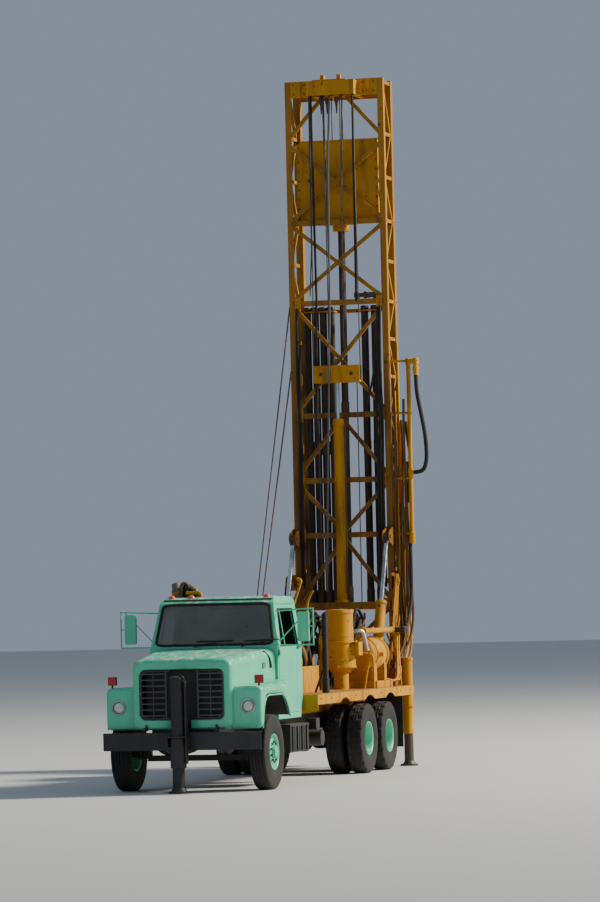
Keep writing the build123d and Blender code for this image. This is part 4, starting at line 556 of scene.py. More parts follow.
def makeWheel(node, sign, row):
    front = row == "front"
    kind = "front" if front else "rear"
    look = wheelLook[kind]
    y = axlePlaces[row]
    middle = tyreLook[kind + "Face"] - tyreLook["width"] / 2
    work = bmesh.new()
    for centreX in [middle] if front else [middle, middle - tyreLook["dualStep"]]:
        tyreSkin(work, sign * centreX, y, front)
    bmesh.ops.recalc_face_normals(work, faces=work.faces)
    tyres = meshPiece(node + "Tyres", work, tyreRubber, node, smooth=True)
    sharpen(tyres, 40)
    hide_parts(node)
    axis = (sign, 0, 0)
    centre = at(0, y, tyreLook["radius"])
    rim = [(middle + along, radius) for along, radius in rims[kind]]
    turned(node + "Rim", [(rim, centre, axis)], mint, node, count=72)

    def around(out, radius, i):
        turn = 2 * math.pi * (i + 0.5) / wheelLook["nuts"]
        return centre + Vector((sign * (middle + out), radius * math.cos(turn), radius * math.sin(turn)))

    nuts = range(wheelLook["nuts"])
    places = [around(look["nutSeat"], look["nutRing"], i) for i in nuts]
    hexBolts(node + "Nuts", [(place, axis, 0.017, 0.026) for place in places], node)
    # the rim's hand holes are not cut: each is a flat black disc, painted shade of the hole
    shades = bmesh.new()
    for i in nuts[::2]:
        spot = around(look["holeSeat"], wheelLook["holeRing"], i)
        shades.faces.new([shades.verts.new(spot + out * wheelLook["holeRadius"])
                          for out in spokes(axis, 20)[1]])
    meshPiece(node + "HandHoleShades", shades, black, node)


for row in ("front", "mid", "rear"):
    for side, sign in (("left", 1), ("right", -1)):
        node = f"{row}_{side}_wheel" if row == "front" else f"{row}_{side}_wheels"
        makeWheel(node, sign, row)
print("wheels made")


# hood, fenders, grille and lamps
hoodLook = {"wall": 0.016, "cowlY": 0.905, "cowlHalf": 0.937, "cowlTop": 2.037, "noseY": -0.76,
            "noseHalf": 0.745, "noseTop": 1.925, "noseRound": 0.085, "bottom": 0.9, "crown": 0.022,
            "podIn": 0.65, "podOut": 1.163, "podFront": -0.67, "podTop": 1.505, "podRise": 0.058,
            "podRiseFrom": 0.6, "podRound": 0.06, "podSlope": 0.085,
            "archTop": 1.36, "archFront": -0.585, "archBack": 0.8, "archRun": 0.12, "archFlat": (-0.2, 0.42),
            "archFoot": 1.0, "slotBack": -0.6, "slotTop": 1.055,
            # half width, bottom, top, place and corner radius of each ring of the grille's recess
            "recess": ((0.655, 1.01, 1.795, -0.757, 0.105), (0.637, 1.026, 1.774, -0.757, 0.095),
                       (0.628, 1.036, 1.764, -0.747, 0.088), (0.624, 1.04, 1.76, -0.728, 0.086)),
            "podStations": (0.905, 0.86, 0.82, 0.78, 0.74, 0.7, 0.64, 0.58, 0.5, 0.42, 0.3, 0.15, 0.0,
                            -0.12, -0.2, -0.26, -0.32, -0.38, -0.43, -0.48, -0.52, -0.55, -0.57, -0.585,
                            -0.595, -0.61)}


def roundedLoop(x0, x1, z0, z1, radius, corner=7, edge=9):
    loop = []
    spots = ((x1 - radius, z1 - radius, 0), (x0 + radius, z1 - radius, 90), (x0 + radius, z0 + radius, 180),
             (x1 - radius, z0 + radius, 270))
    for index, (cx, cz, start) in enumerate(spots):
        for i in range(corner):
            turn = math.radians(start + 90 * i / (corner - 1))
            loop.append((cx + radius * math.cos(turn), cz + radius * math.sin(turn)))
        nx, nz, begin = spots[(index + 1) % 4]
        x, z = loop[-1]
        turn = math.radians(begin)
        endX, endZ = nx + radius * math.cos(turn), nz + radius * math.sin(turn)
        for i in range(1, edge):
            t = i / edge
            loop.append((x + (endX - x) * t, z + (endZ - z) * t))
    return loop


def archLine(y):
    # the height of the wheel arch, or the hood's lower edge beside it
    front, back, top, low = (hoodLook[key] for key in ("archFront", "archBack", "archTop", "bottom"))
    end = back + hoodLook["archRun"]
    flatFront, flatBack = hoodLook["archFlat"]
    if y <= front or y >= end:
        return low
    if y < flatFront:
        t = (y - front) / (flatFront - front)
        return low + (top - low) * (1 - (1 - t) ** 3.2) ** 0.62
    if y > flatBack:
        return top - (top - hoodLook["archFoot"]) * ((y - flatBack) / (end - flatBack)) ** 2.1
    return top


def noseLoops():
    # rings from the cowl forward, round the nose and into the grille's recess
    h = hoodLook
    soften = h["noseRound"]
    run = h["cowlY"] - h["noseY"] - soften
    loops = []

    def addLoop(y, half, low, top, crown, radius):
        ring = roundedLoop(-half, half, low, top - h["crown"], radius)
        # only the upper part of a ring is crowned
        loops.append([at(x, y, z + crown * (1 - (x / half) ** 2) * (z > top - 0.13) - 0.004)
                      for x, z in ring])

    for i in range(13):
        y = h["cowlY"] - run * i / 12
        t = max(0, (y - h["noseY"] - soften) / run)
        half = h["noseHalf"] + (h["cowlHalf"] - h["noseHalf"]) * t
        top = h["noseTop"] + (h["cowlTop"] - h["noseTop"]) * t
        addLoop(y, half, h["bottom"], top, h["crown"], 0.12)
    for i in range(1, 6):
        turn = math.radians(90 * i / 5)
        pull = soften * (1 - math.cos(turn)) * 0.9
        addLoop(h["noseY"] + soften * (1 - math.sin(turn)), h["noseHalf"] - pull, h["bottom"] + pull * 0.6,
                h["noseTop"] - pull, h["crown"] * (1 - i / 5) ** 0.5, 0.11)
    for half, low, high, y, radius in h["recess"]:
        loops.append([at(x, y, z) for x, z in roundedLoop(-half, half, low, high, radius)])
    return loops


def podLoops(sign):
    # rings along one fender, from the cowl forward and round its front
    h = hoodLook
    rings = []
    for y in h["podStations"]:
        rise = h["podRise"] * max(0, (y - h["podRiseFrom"]) / 0.305) ** 1.3
        rings.append((y, h["podOut"], archLine(y), h["podTop"] + rise, 0.075))
    for i in range(1, 6):
        turn = math.radians(90 * i / 5)
        pull = h["podRound"] * (1 - math.cos(turn))
        drop = h["podSlope"] * (1 - math.cos(turn))
        rings.append((h["podFront"] + h["podRound"] * (1 - math.sin(turn)), h["podOut"] - pull,
                      h["bottom"] + pull * 0.5, h["podTop"] - drop, 0.07))
    rings.append((h["podFront"] - 0.002, h["podOut"] - 0.13, h["bottom"] + 0.1, h["podTop"] - 0.17, 0.05))
    return [[at(sign * x, y, z) for x, z in roundedLoop(h["podIn"], outer, low, high, radius)]
            for y, outer, low, high, radius in rings]


def makeHood():
    h = hoodLook
    work = bmesh.new()
    skin(work, noseLoops())
    for sign in (1, -1):
        skin(work, podLoops(sign), closeEnd=True)

    def cutAway(test):
        gone = []
        for face in work.faces:
            spot = face.calc_center_median()
            if test(abs(spot.x), spot.y + midY, spot.z, abs(face.normal.x)):
                gone.append(face)
        bmesh.ops.delete(work, geom=gone, context="FACES")

    # the wheel arches, the walls between nose and fenders, and the slot for the jack
    back = h["slotBack"]
    cutAway(lambda x, y, z, side: z < archLine(y) + 0.012 and side < 0.6 and y > back)
    cutAway(lambda x, y, z, side: 0.6 < x < 0.655 and side > 0.9 and z < 1.66)
    cutAway(lambda x, y, z, side: side > 0.6 and 0.6 < x < 0.96 and z < 1.46 and y > back)
    for vert in work.verts:
        if 0.16 < abs(vert.co.x) < 0.23 and vert.co.y + midY < back and vert.co.z < h["slotTop"]:
            vert.co.x = math.copysign(0.138, vert.co.x)
    cutAway(lambda x, y, z, side: x < 0.14 and y < back and z < h["slotTop"])
    bmesh.ops.recalc_face_normals(work, faces=work.faces)
    piece = meshPiece("hoodSkin", work, mint, "hood", smooth=True)
    thicken(piece, h["wall"])
    sharpen(piece, 50)
    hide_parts("hood")
    lips = []
    rearY = h["cowlY"]
    for sign in (1, -1):
        line = [back + i * (rearY - back) / 33 for i in range(34)]
        lips.append([at(sign * (h["podOut"] - 0.006), y, archLine(y) + 0.002) for y in line])
    tubes("hoodArchLips", lips, 0.011, mint, "hood", soft=False)
    liners = bmesh.new()
    for sign in (1, -1):
        rows = []
        for i in range(30):
            y = -0.595 + i * (0.9 + 0.595) / 29
            z = min(archLine(y) + 0.022, 1.4)
            row = [(sign * x, y, max(z, 0)) for x in (1.14, 0.85, 0.575)] + [(sign * 0.56, y, 0.96)]
            rows.append([liners.verts.new(at(*place)) for place in row])
        for one, two in zip(rows, rows[1:]):
            for i in range(3):
                liners.faces.new((one[i], one[i + 1], two[i + 1], two[i]))
    bmesh.ops.recalc_face_normals(liners, faces=liners.faces)
    shade = meshPiece("archLiners", liners, hoseRubber, "hood", smooth=True)
    thicken(shade, 0.004)
    lugs = [(s * 0.52 - 0.006, s * 0.52 + 0.006, -0.824, -0.73, 0.884, 0.97) for s in (1, -1)]
    boxes("hoodHingeLugs", lugs, black, "hood")


grilleLook = {"half": 0.624, "low": 1.04, "high": 1.76, "y": -0.742, "cut": 0.225, "bars": 8}


def makeGrille():
    g = grilleLook
    rows = []
    for sign in (1, -1):
        for i in range(g["bars"]):
            z = g["low"] + 0.062 + i * (g["high"] - g["low"] - 0.124) / (g["bars"] - 1)
            x0, x1 = sorted((sign * (g["cut"] + 0.02), sign * (g["half"] - 0.012)))
            rows.append((x0, x1, g["y"] - 0.004, g["y"] + 0.03, z - 0.009, z + 0.009))
        posts = ((g["cut"] + 0.012, 0.012), ((g["cut"] + g["half"]) / 2, 0.006), (g["half"] - 0.008, 0.009))
        for x, wide in posts:
            rows.append((sign * x - wide, sign * x + wide, g["y"] + 0.002, g["y"] + 0.044,
                         g["low"] + 0.02, g["high"] - 0.02))
    shroud = [(x0, x1, -0.728, -0.46, 1.03, 1.775) for x0, x1 in ((0.6, 0.612), (-0.612, -0.6))]
    boxes("grilleShroud", shroud, hoseRubber, "hood", bevel=0)
    bars = boxes("grilleBars", rows, grilleGrey, "hood", bevel=0.003)
    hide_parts("grille")
    outer, inner = (0.622, 1.042, 1.758), (0.59, 1.074, 1.726)
    rings = ((outer, -0.735), (outer, -0.7), (inner, -0.7), (inner, -0.735), (outer, -0.735))
    work = bmesh.new()
    skin(work, [[at(x, y, z) for x, z in roundedLoop(-half, half, low, high, 0.085)]
                for (half, low, high), y in rings])
    gone = [f for f in work.faces if abs(f.calc_center_median().x) < g["cut"]]
    bmesh.ops.delete(work, geom=gone, context="FACES")
    bmesh.ops.recalc_face_normals(work, faces=work.faces)
    meshPiece("grilleFrame", work, black, "hood")


lampLook = {"x": 0.965, "z": 1.222, "radius": 0.105, "front": -0.672, "markerX": 1.095, "markerZ": 1.538}


def makeLamps():
    look = lampLook
    radius = look["radius"]
    for sign, side in ((1, "Left"), (-1, "Right")):
        centre = at(sign * look["x"], look["front"], look["z"])
        ring = [(0.000, radius), (0.016, radius), (0.022, radius - 0.006), (0.02, radius - 0.016),
                (0.01, radius - 0.022), (0.004, radius - 0.022)]
        turned("headlightBezel" + side, [(ring, centre, (0, -1, 0))], silver, "hood", count=48)
        cup = [(0.003, 0.086), (0.001, 0.08), (-0.004, 0.074), (-0.004, 0.0)]
        turned("headlightCup" + side, [(cup, centre, (0, -1, 0))], black, "hood", count=40)
        dome = [(-0.002, 0.074), (0.006, 0.071), (0.013, 0.062), (0.018, 0.045), (0.021, 0.025), (0.022, 0.0)]
        lens = turned("headlightLens" + side, [(dome, centre, (0, -1, 0))], clearLens, "hood", count=40)
        if side == "Left":
            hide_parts("lamps")
    stalks, faces = [], []
    z = look["markerZ"]
    for sign in (1, -1):
        x = sign * look["markerX"]
        stalks.append((x - 0.012, x + 0.012, -0.565, -0.535, 1.5, 1.56))
        stalks.append((x - 0.066, x + 0.066, -0.558, -0.528, z + 0.005, z + 0.125))
        faces.append((x - 0.056, x + 0.056, -0.571, -0.556, z + 0.013, z + 0.117))
    boxes("fenderMarkerShells", stalks, black, "hood", bevel=0.006)
    boxes("fenderMarkerLenses", faces, red, "hood", bevel=0.005)


makeHood()
makeGrille()
makeLamps()
print("hood dressed")


# machines on the deck
cleanerLook = {"x": 0.65, "y": 5.83}


def makeAirCleaner():
    x, y = cleanerLook["x"], cleanerLook["y"]
    centre = at(x, y, 0)
    can = [(1.3, 0.0), (1.3, 0.118), (1.56, 0.118), (1.565, 0.15), (1.635, 0.222), (1.64, 0.246),
           (1.664, 0.246), (1.668, 0.232), (1.86, 0.232), (2.022, 0.231), (2.026, 0.243), (2.054, 0.243),
           (2.058, 0.206), (2.3, 0.205), (2.488, 0.205), (2.492, 0.216), (2.54, 0.216), (2.549, 0.21),
           (2.556, 0.12), (2.558, 0.0)]
    rings = [(1.74, 0.231), (1.75, 0.237), (1.768, 0.237), (1.778, 0.231)]
    high = [(2.12, 0.204), (2.125, 0.209), (2.15, 0.209), (2.155, 0.204)]
    items = [(rows, centre, (0, 0, 1)) for rows in (can, rings, high)]
    body = turned("airCleanerCan", items, yellow, "truck", count=72)
    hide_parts("air_cleaner")
    # the outlet's box with its flanges, and three latches, from the middle of the can
    parts = [(0.12, 0.325, -0.115, 0.12, 1.835, 2.035), (0.12, 0.33, -0.12, 0.13, 1.83, 1.846),
             (0.12, 0.33, -0.12, 0.13, 2.026, 2.04), (0.235, 0.262, -0.04, 0.04, 2.022, 2.064),
             (-0.262, -0.235, -0.04, 0.04, 2.022, 2.064), (-0.03, 0.03, -0.262, -0.236, 1.632, 1.676)]
    places = [(x + x0, x + x1, y + y0, y + y1, z0, z1) for x0, x1, y0, y1, z0, z1 in parts]
    boxes("airCleanerOutlet", places, yellow, "truck", bevel=0.006)


receiverLook = {"x": 0.82, "front": 6.32, "back": 7.23, "z": 1.83, "radius": 0.268, "dome": 0.095}


def makeReceiver():
    x, z, radius, dome = (receiverLook[key] for key in ("x", "z", "radius", "dome"))
    front, back = receiverLook["front"], receiverLook["back"]
    turns = [math.radians(90 * i / 8) for i in range(9)]
    # welded rims at both ends and a seam between them
    swells = [(front + 0.004, 0.006), (front + 0.02, 0.006), (front + 0.026, 0.0), (front + 0.4, 0.0),
              (front + 0.405, 0.003), (front + 0.418, 0.003), (front + 0.423, 0.0), (back - 0.026, 0.0),
              (back - 0.02, 0.006), (back - 0.004, 0.006)]
    shell = [(front - dome * math.cos(turn), radius * math.sin(turn)) for turn in turns]
    shell += [(y, radius + swell) for y, swell in swells]
    shell += [(back + dome * math.sin(turn), radius * math.cos(turn)) for turn in turns]
    axis = at(x, 0, z)
    port = [(-0.02, 0.05), (0.02, 0.05), (0.02, 0.036), (0.09, 0.036), (0.09, 0.0)]
    plug = [(0.0, 0.055), (0.022, 0.055), (0.022, 0.03), (0.05, 0.03), (0.05, 0.0)]
    items = [(shell, axis, (0, 1, 0)), (port, at(x - 0.04, 6.7, z + radius), (0, 0, 1)),
             (plug, at(x, front - dome + 0.002, z), (0, -1, 0)),
             (port, at(x + radius - 0.01, 6.55, z), (1, 0, 0))]
    tank = turned("receiverTank", items, yellow, "truck", count=72)
    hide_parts("air_receiver")
    stands = [(x - 0.26, x + 0.29, 6.3, 7.33, 1.3, 1.41)]
    for y in (6.45, 7.08):
        stands.append((x - 0.23, x + 0.23, y - 0.06, y + 0.06, 1.3, z - radius + 0.03))
        for side in (-0.23, 0.23):
            stands.append((x + side - 0.008, x + side + 0.008, y - 0.07, y + 0.07, 1.41, z - 0.12))
    boxes("receiverSaddles", stands, yellow, "truck", bevel=0.006)
    bands = []
    for y in (6.45, 7.08):
        arc = [math.radians(-30 + 240 * i / 24) for i in range(25)]
        out = radius + 0.006
        bands.append([at(x + out * math.cos(turn), y, z + out * math.sin(turn)) for turn in arc])
    tubes("receiverBands", bands, 0.012, yellow, "truck", soft=False)


jackLook = {"frontY": -0.97, "frontR": 0.0975, "rearX": 1.12, "rearY": 8.27, "rearR": 0.085}


def makeJacks():
    j = jackLook
    spot = at(0, j["frontY"], 0)
    r = j["frontR"]
    tube = [(0.36, r - 0.01), (0.36, r + 0.014), (0.364, r + 0.018), (0.782, r + 0.018),
            (0.79, r + 0.012), (0.791, r + 0.03), (0.812, r + 0.03), (0.814, r), (1.615, r),
            (1.618, r + 0.009), (1.652, r + 0.009), (1.66, r), (1.665, r - 0.02), (1.665, 0.0)]
    turned("frontJackTube", [(tube, spot, (0, 0, 1))], jackPaint, "truck", count=56)
    q = j["rearR"]
    rear = [(0.52, q - 0.01), (0.52, q), (0.6, q + 0.004), (0.61, q), (0.954, q), (0.956, q + 0.022),
            (0.976, q + 0.022), (0.978, q), (1.7, q), (1.703, q + 0.01), (1.745, q + 0.01),
            (1.755, q - 0.01), (1.755, 0.0)]
    items = [(rear, at(sign * j["rearX"], j["rearY"], 0), (0, 0, 1)) for sign in (1, -1)]
    rearTubes = turned("rearJackTubes", items, yellow, "truck", count=48)
    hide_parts("jack_tubes")
    plates = [(-0.16, -0.1, -1.1, -0.87, 0.792, 0.81), (0.1, 0.16, -1.1, -0.87, 0.792, 0.81),
              (-0.102, 0.102, -1.1, -1.07, 0.792, 0.81), (-0.15, 0.15, -0.879, -0.868, 0.62, 0.79),
              (0.118, 0.137, -1.03, -0.93, 0.42, 1.56), (0.112, 0.137, -1.032, -0.94, 1.555, 1.6),
              (-0.15, -0.128, -1.06, -0.87, 0.66, 0.79), (0.138, 0.15, -1.06, -0.87, 0.66, 0.79)]
    for z in (0.6, 1.05, 1.5):
        plates.append((0.096, 0.128, -1.0, -0.96, z, z + 0.03))
    boxes("frontJackBrackets", plates, jackPaint, "truck", bevel=0.004)
    pipes = [[at(0.03, -1.02, 1.672), at(0.09, -1.03, 1.682), at(0.118, -1.0, 1.62), at(0.122, -0.98, 1.35),
              at(0.12, -0.97, 1.02), at(0.13, -0.93, 0.9)]]
    tubes("frontJackPipe", pipes, 0.01, black, "truck")
    gussets = []
    for sign in (1, -1):
        x, y = sign * j["rearX"], j["rearY"]
        near, far = sorted((x - sign * 0.087, x - sign * 0.3))
        gussets.append((near, far, y - 0.012, y + 0.012, 1.02, 1.29))
    boxes("rearJackGussets", gussets, yellow, "truck", bevel=0.003)


stackLook = {"x": 1.0, "y": 3.55, "radius": 0.044}


def makeStack():
    s = stackLook
    spot = at(s["x"], s["y"], 0)
    r = s["radius"]
    pipe = [(1.3, r + 0.012), (1.53, r + 0.012), (1.533, r), (2.16, r), (2.165, r + 0.007),
            (2.2, r + 0.007), (2.203, r), (2.496, r + 0.001), (2.5, r - 0.006), (2.44, r - 0.008),
            (2.4, 0.0)]
    stack = turned("exhaustPipe", [(pipe, spot, (0, 0, 1))], black, "truck", count=40)
    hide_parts("exhaust_stack")
    prop = [at(s["x"] - 0.02, s["y"] + 0.02, 1.7), at(s["x"] - 0.25, s["y"] + 0.33, 1.31)]
    tubes("exhaustProp", [prop], 0.018, black, "truck", soft=False)


airLook = {"z": 2.205, "x": 0.96}


def makeAirPipes():
    x, z = airLook["x"], airLook["z"]
    main = [(0.0, 0.0), (0.0, 0.05), (0.03, 0.052), (0.04, 0.043), (0.5, 0.043), (0.51, 0.054),
            (0.57, 0.054), (0.58, 0.043), (1.78, 0.043), (1.79, 0.055), (1.86, 0.055), (1.87, 0.0)]
    drop = [(-0.065, 0.036), (0.0, 0.036), (0.0, 0.05), (0.07, 0.05), (0.075, 0.04), (0.11, 0.04)]
    items = [(main, at(x, 6.09, z), (0, 1, 0)),
             ([(0.0, 0.046), (0.11, 0.046), (0.12, 0.036), (0.2, 0.036)], at(0.78, 6.7, z), (1, 0, 0)),
             (drop, at(0.78, 6.7, 2.16), (0, 0, 1))]
    pipe = turned("airPipeYellow", items, yellow, "truck", count=36)
    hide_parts("air_line")
    grey = [(0.0, 0.048), (0.06, 0.05), (0.065, 0.043), (0.2, 0.043), (0.205, 0.056), (0.25, 0.056),
            (0.25, 0.0)]
    turned("airPipeCoupling", [(grey, at(x - 0.03, 7.96, z), (1, 0, 0))], black, "truck", count=36)
    elbow = [at(0.72, 5.98, 2.18), at(0.86, 6.02, 2.215), at(0.95, 6.09, 2.21), at(0.975, 6.1, 2.06),
             at(1.0, 6.11, 1.92)]
    tubes("silverElbow", [elbow], 0.036, silver, "truck", sides=8)
    cuff = [(0.0, 0.04), (0.0, 0.046), (0.05, 0.046)]
    down = (0.05, 0, -0.3)
    cuffs = [(cuff + [(0.05, 0.04)], at(0.975, 6.1, 2.06), down),
             (cuff + [(0.05, 0.0)], at(0.995, 6.11, 1.94), down)]
    turned("silverElbowCuffs", cuffs, silver, "truck", count=32)


cabBackLook = {"x": -1.06, "y": 3.05}


def makeCabBackGear():
    # the bundle of tools and hoses that stands up behind the passenger's side of the cab
    x, y = cabBackLook["x"], cabBackLook["y"]
    barrel = [(0.0, 0.0), (0.0, 0.075), (0.03, 0.085), (0.2, 0.088), (0.4, 0.088), (0.42, 0.07),
              (0.5, 0.06), (0.52, 0.0)]
    lean = (-0.24, 0, 1)
    turned("liftMotor", [(barrel, at(x - 0.02, y, 2.52), lean)], cableGrey, "truck", count=40)
    bands = [(0.0, 0.09), (0.0, 0.095), (0.03, 0.095), (0.03, 0.09)]
    items = [(bands, at(x - 0.054, y, 2.66), lean), (bands, at(x - 0.1, y, 2.85), lean)]
    turned("liftMotorBands", items, yellow, "truck", count=40)
    loops = []
    for i in range(7):
        shift = i * 0.028
        back = 0.05 * (i % 3)
        loops.append([at(x + 0.07 + shift, y - 0.06 + back, 2.42),
                      at(x + 0.00 + shift, y - 0.09 + back, 2.72),
                      at(x - 0.04 + shift, y - 0.08 + back, 2.98 - i * 0.022),
                      at(x + 0.05 + shift, y - 0.04 + back, 3.03 - i * 0.03),
                      at(x + 0.13 + shift * 0.8, y + back, 2.8),
                      at(x + 0.18 + shift * 0.6, y + 0.02 + back, 2.42)])
    tubes("liftHoses", loops[::2], 0.024, hoseBrown, "truck")
    tubes("liftHosesDark", loops[1::2], 0.022, hoseRubber, "truck")
    rail = [[at(x + 0.22, y, 2.36), at(x + 0.2, y, 2.86), at(x + 0.18, y, 2.93)]]
    tubes("liftRails", rail, 0.022, yellow, "truck", sides=6)
    post = [(x - 0.09, x - 0.03, y - 0.05, y + 0.05, 1.3, 2.56),
            (x + 0.06, x + 0.2, y - 0.06, y + 0.06, 1.3, 2.38),
            (x - 0.12, x + 0.26, y - 0.08, y + 0.08, 2.32, 2.4)]
    boxes("liftPost", post, yellow, "truck", bevel=0.006)


def makeDeckHoses():
    # the tangle of hoses on the deck, drawn with a fixed seed
    draw = random.Random(11)
    sets = {"darkHoses": [], "brownHoses": []}
    for count in range(34):
        x = draw.uniform(-0.42, 0.36)
        lean = draw.uniform(-0.22, 0.22)
        top = draw.uniform(2.15, 2.62)
        y = draw.uniform(6.5, 7.5)
        bulge = draw.uniform(-0.16, 0.16)
        route = [at(x, y, 1.32), at(x + bulge, y + 0.02, 1.55), at(x + lean, (y + 8.1) / 2, top - 0.25),
                 at(x + lean * 0.6, 8.05, top), at(x + lean * 0.4, 8.22, top - draw.uniform(0.05, 0.5))]
        sets["darkHoses" if count % 3 else "brownHoses"].append(route)
    for count in range(8):
        x = draw.uniform(0.36, 0.52)
        y = 3.1 + 0.16 * count
        sets["darkHoses"].append([at(0.3, y, 1.5), at(x, y + 0.05, 1.62), at(x + 0.02, y + 0.1, 1.86),
                                  at(0.36, y + 0.2, 2.02)])
    for count in range(26):
        x = draw.uniform(-0.1, 0.47)
        y = draw.uniform(7.4, 7.72)
        top = draw.uniform(2.35, 2.6)
        hook = draw.uniform(-0.1, 0.1)
        route = [at(x, y, 1.32), at(x + hook * 0.5, y + 0.05, 1.85), at(x - hook * 0.4, y + 0.22, top - 0.1),
                 at(x + hook, y + 0.34, top), at(x + hook * 1.6, y + 0.42, top - 0.16)]
        sets["darkHoses" if count % 4 else "brownHoses"].append(route)
    curls = []
    for count in range(7):
        side, out, drop = draw.uniform(-0.06, 0.06), draw.uniform(0, 0.3), draw.uniform(0, 0.12)
        curls.append([at(0.97 + side, 8.14, 2.5 - drop * 3),
                      at(1.00 + side, 8.06 - out * 0.3, 2.02 - drop),
                      at(1.13 - abs(side), 7.95 - out, 1.62 - drop),
                      at(1.12 + side * 0.5, 7.74 - out, 1.37 + drop * 0.3),
                      at(0.98 + side, 7.56 - out * 0.8, 1.35 + drop * 0.4),
                      at(0.8 + side, 7.4 - out, 1.38 + drop)])
    tubes("curledHoses", curls, 0.015, yellow, "truck")
    tubes("darkHoses", sets["darkHoses"], 0.026, hoseRubber, "truck")
    tubes("brownHoses", sets["brownHoses"], 0.017, hoseBrown, "truck")
    valves = [(x, x + 0.1, 7.56, 7.8, 1.92, 2.1) for x in (-0.52, -0.4, -0.28, -0.16, -0.04, 0.08)]
    valves += [(-0.56, 0.22, 7.6, 7.76, 1.84, 1.92), (-0.54, -0.48, 7.64, 7.72, 1.3, 1.84),
               (0.12, 0.18, 7.64, 7.72, 1.3, 1.84)]
    boxes("valveBank", valves, cast, "truck", bevel=0.008)


def makeDeckTrim():
    rail = [[at(-0.4, 7.72, 1.31), at(-0.4, 7.72, 2.55), at(-0.36, 7.72, 2.75), at(-0.28, 7.72, 2.86)],
            [at(0.3, 5.95, 1.31), at(0.3, 5.95, 2.2), at(0.34, 5.95, 2.26), at(0.5, 5.95, 2.27)],
            [at(1.13, 6.02, 1.31), at(1.13, 6.02, 1.78), at(1.1, 6.02, 1.84), at(0.94, 6.02, 1.86)],
            [at(0.97, 6.04, 1.31), at(1.02, 6.03, 1.6), at(1.08, 6.02, 1.86)]]
    tubes("deckPipes", rail, 0.02, yellow, "truck", sides=5)
    bolts = [(at(sign * 1.2, y, 1.235), (sign, 0, 0), 0.012, 0.01)
             for y in (2.5, 3.1, 4.6, 5.2, 6.2, 7.45, 8.1) for sign in (1, -1)]
    hexBolts("skirtBolts", bolts, "truck")


makeAirCleaner()
makeReceiver()
makeJacks()
makeStack()
makeAirPipes()
makeCabBackGear()
makeDeckHoses()
makeDeckTrim()
print("deck dressed")


# cab trim
def cabSide(z):
    return cabLook["side"] - cabLook["lean"] * max(0, z - cabLook["belt"])


def screenLoop(grow, forward):
    c = cabLook
    loop = []
    for x, z in roundedLoop(-1, 1, -1, 1, 0.16, corner=6, edge=6):
        t = (z + 1) / 2
        half = c["lowHalf"] + (c["highHalf"] - c["lowHalf"]) * t + grow
        height = c["sill"] + (c["head"] - c["sill"]) * t + grow * z
        y = c["lowY"] + (c["highY"] - c["lowY"]) * t - forward
        loop.append(at(half * x, y, height))
    return loop


def makeCabTrim():
    loop = screenLoop(0.006, 0.004)
    tubes("screenRubber", [loop + loop[:1]], 0.019, hoseRubber, "truck", soft=False, sides=4)
    arms = []
    lean = 0.34
    for x in (-0.3, 0.42):
        arms.append([at(x, 0.93, 2.052), at(x + lean * 0.35, 0.935, 2.095), at(x + lean, 0.955, 2.125)])
        arms.append([at(x + lean - 0.3, 0.958, 2.14), at(x + lean + 0.24, 0.96, 2.148)])
    tubes("wiperArms", arms, 0.007, black, "truck")
    dome = [(0.0, 0.052), (0.02, 0.05), (0.036, 0.04), (0.044, 0.022), (0.046, 0.0)]
    lights = [(dome, at(x, 1.33, 2.772), (0, -0.3, 1)) for x in (-0.74, -0.44, 0.72)]
    # the two pads in the middle carry no lamp
    pads = [(x - 0.045, x + 0.045, 1.29, 1.38, 2.757, 2.776) for x in (-0.74, -0.44, -0.1, 0.12, 0.72)]
    turned("roofLights", lights, amber, "truck", count=28)
    boxes("roofLightPads", pads, mint, "truck", bevel=0.005)
    gutter = []
    for sign in (1, -1):
        line = [(1.00, 2.12), (1.165, 2.672), (1.23, 2.7), (2.28, 2.7)]
        gutter.append([at(sign * (cabSide(z) - 0.003), y, z) for y, z in line])
    tubes("roofGutters", gutter, 0.011, mint, "truck", soft=False)
    for side, sign in (("left", 1), ("right", -1)):
        line = [(1.125, 2.048), (1.247, 2.594), (2.084, 2.594), (2.084, 2.048), (1.125, 2.048)]
        seal = [at(sign * (cabSide(z) + 0.002), y, z) for y, z in line]
        tubes(side + "WindowSeal", [seal], 0.01, hoseRubber, side + "_door", soft=False)
        bar = [at(sign * (cabSide(z) - 0.016), 1.41, z) for z in (2.04, 2.6)]
        tubes(side + "VentBar", [bar], 0.011, mint, side + "_door", soft=False)
        x = sign * 0.974
        handle = [(*sorted((x, x + sign * 0.03)), 2.03, 2.07, 2.0, 2.05),
                  (*sorted((x + sign * 0.022, x + sign * 0.036)), 1.99, 2.13, 2.012, 2.038)]
        boxes(side + "DoorHandle", handle, silver, side + "_door", bevel=0.005)
        middle = sign * 1.321
        glass = [(middle - 0.07, middle + 0.07, 1.146, 1.15, 2.13, 2.525)]
        boxes(side + "MirrorGlass", glass, chrome, side + "_door", bevel=0.001)
    latch = [[at(0.85, 0.62, 1.975), at(0.905, 0.66, 1.92), at(0.925, 0.7, 1.84), at(0.93, 0.72, 1.76)]]
    tubes("hoodLatch", latch, 0.014, hoseRubber, "hood", sides=5)
    hooks = [(0.912, 0.942, 0.7, 0.735, 1.735, 1.78), (0.83, 0.865, 0.6, 0.635, 1.96, 1.99)]
    boxes("hoodLatchHooks", hooks, steel, "hood", bevel=0.003)
    boxes("hoodBadgeBlank", [(0.876, 0.899, 0.42, 0.54, 1.74, 1.82)], silver, "hood", bevel=0.004)
    step = [(1.058, 1.068, y, y + 0.03, 0.5, 0.875) for y in (1.195 + i * 0.26 for i in range(4))]
    step.append((1.055, 1.074, 1.19, 2.25, 0.855, 0.882))
    boxes("stepBoxRibs", step, black, "truck", bevel=0.003)


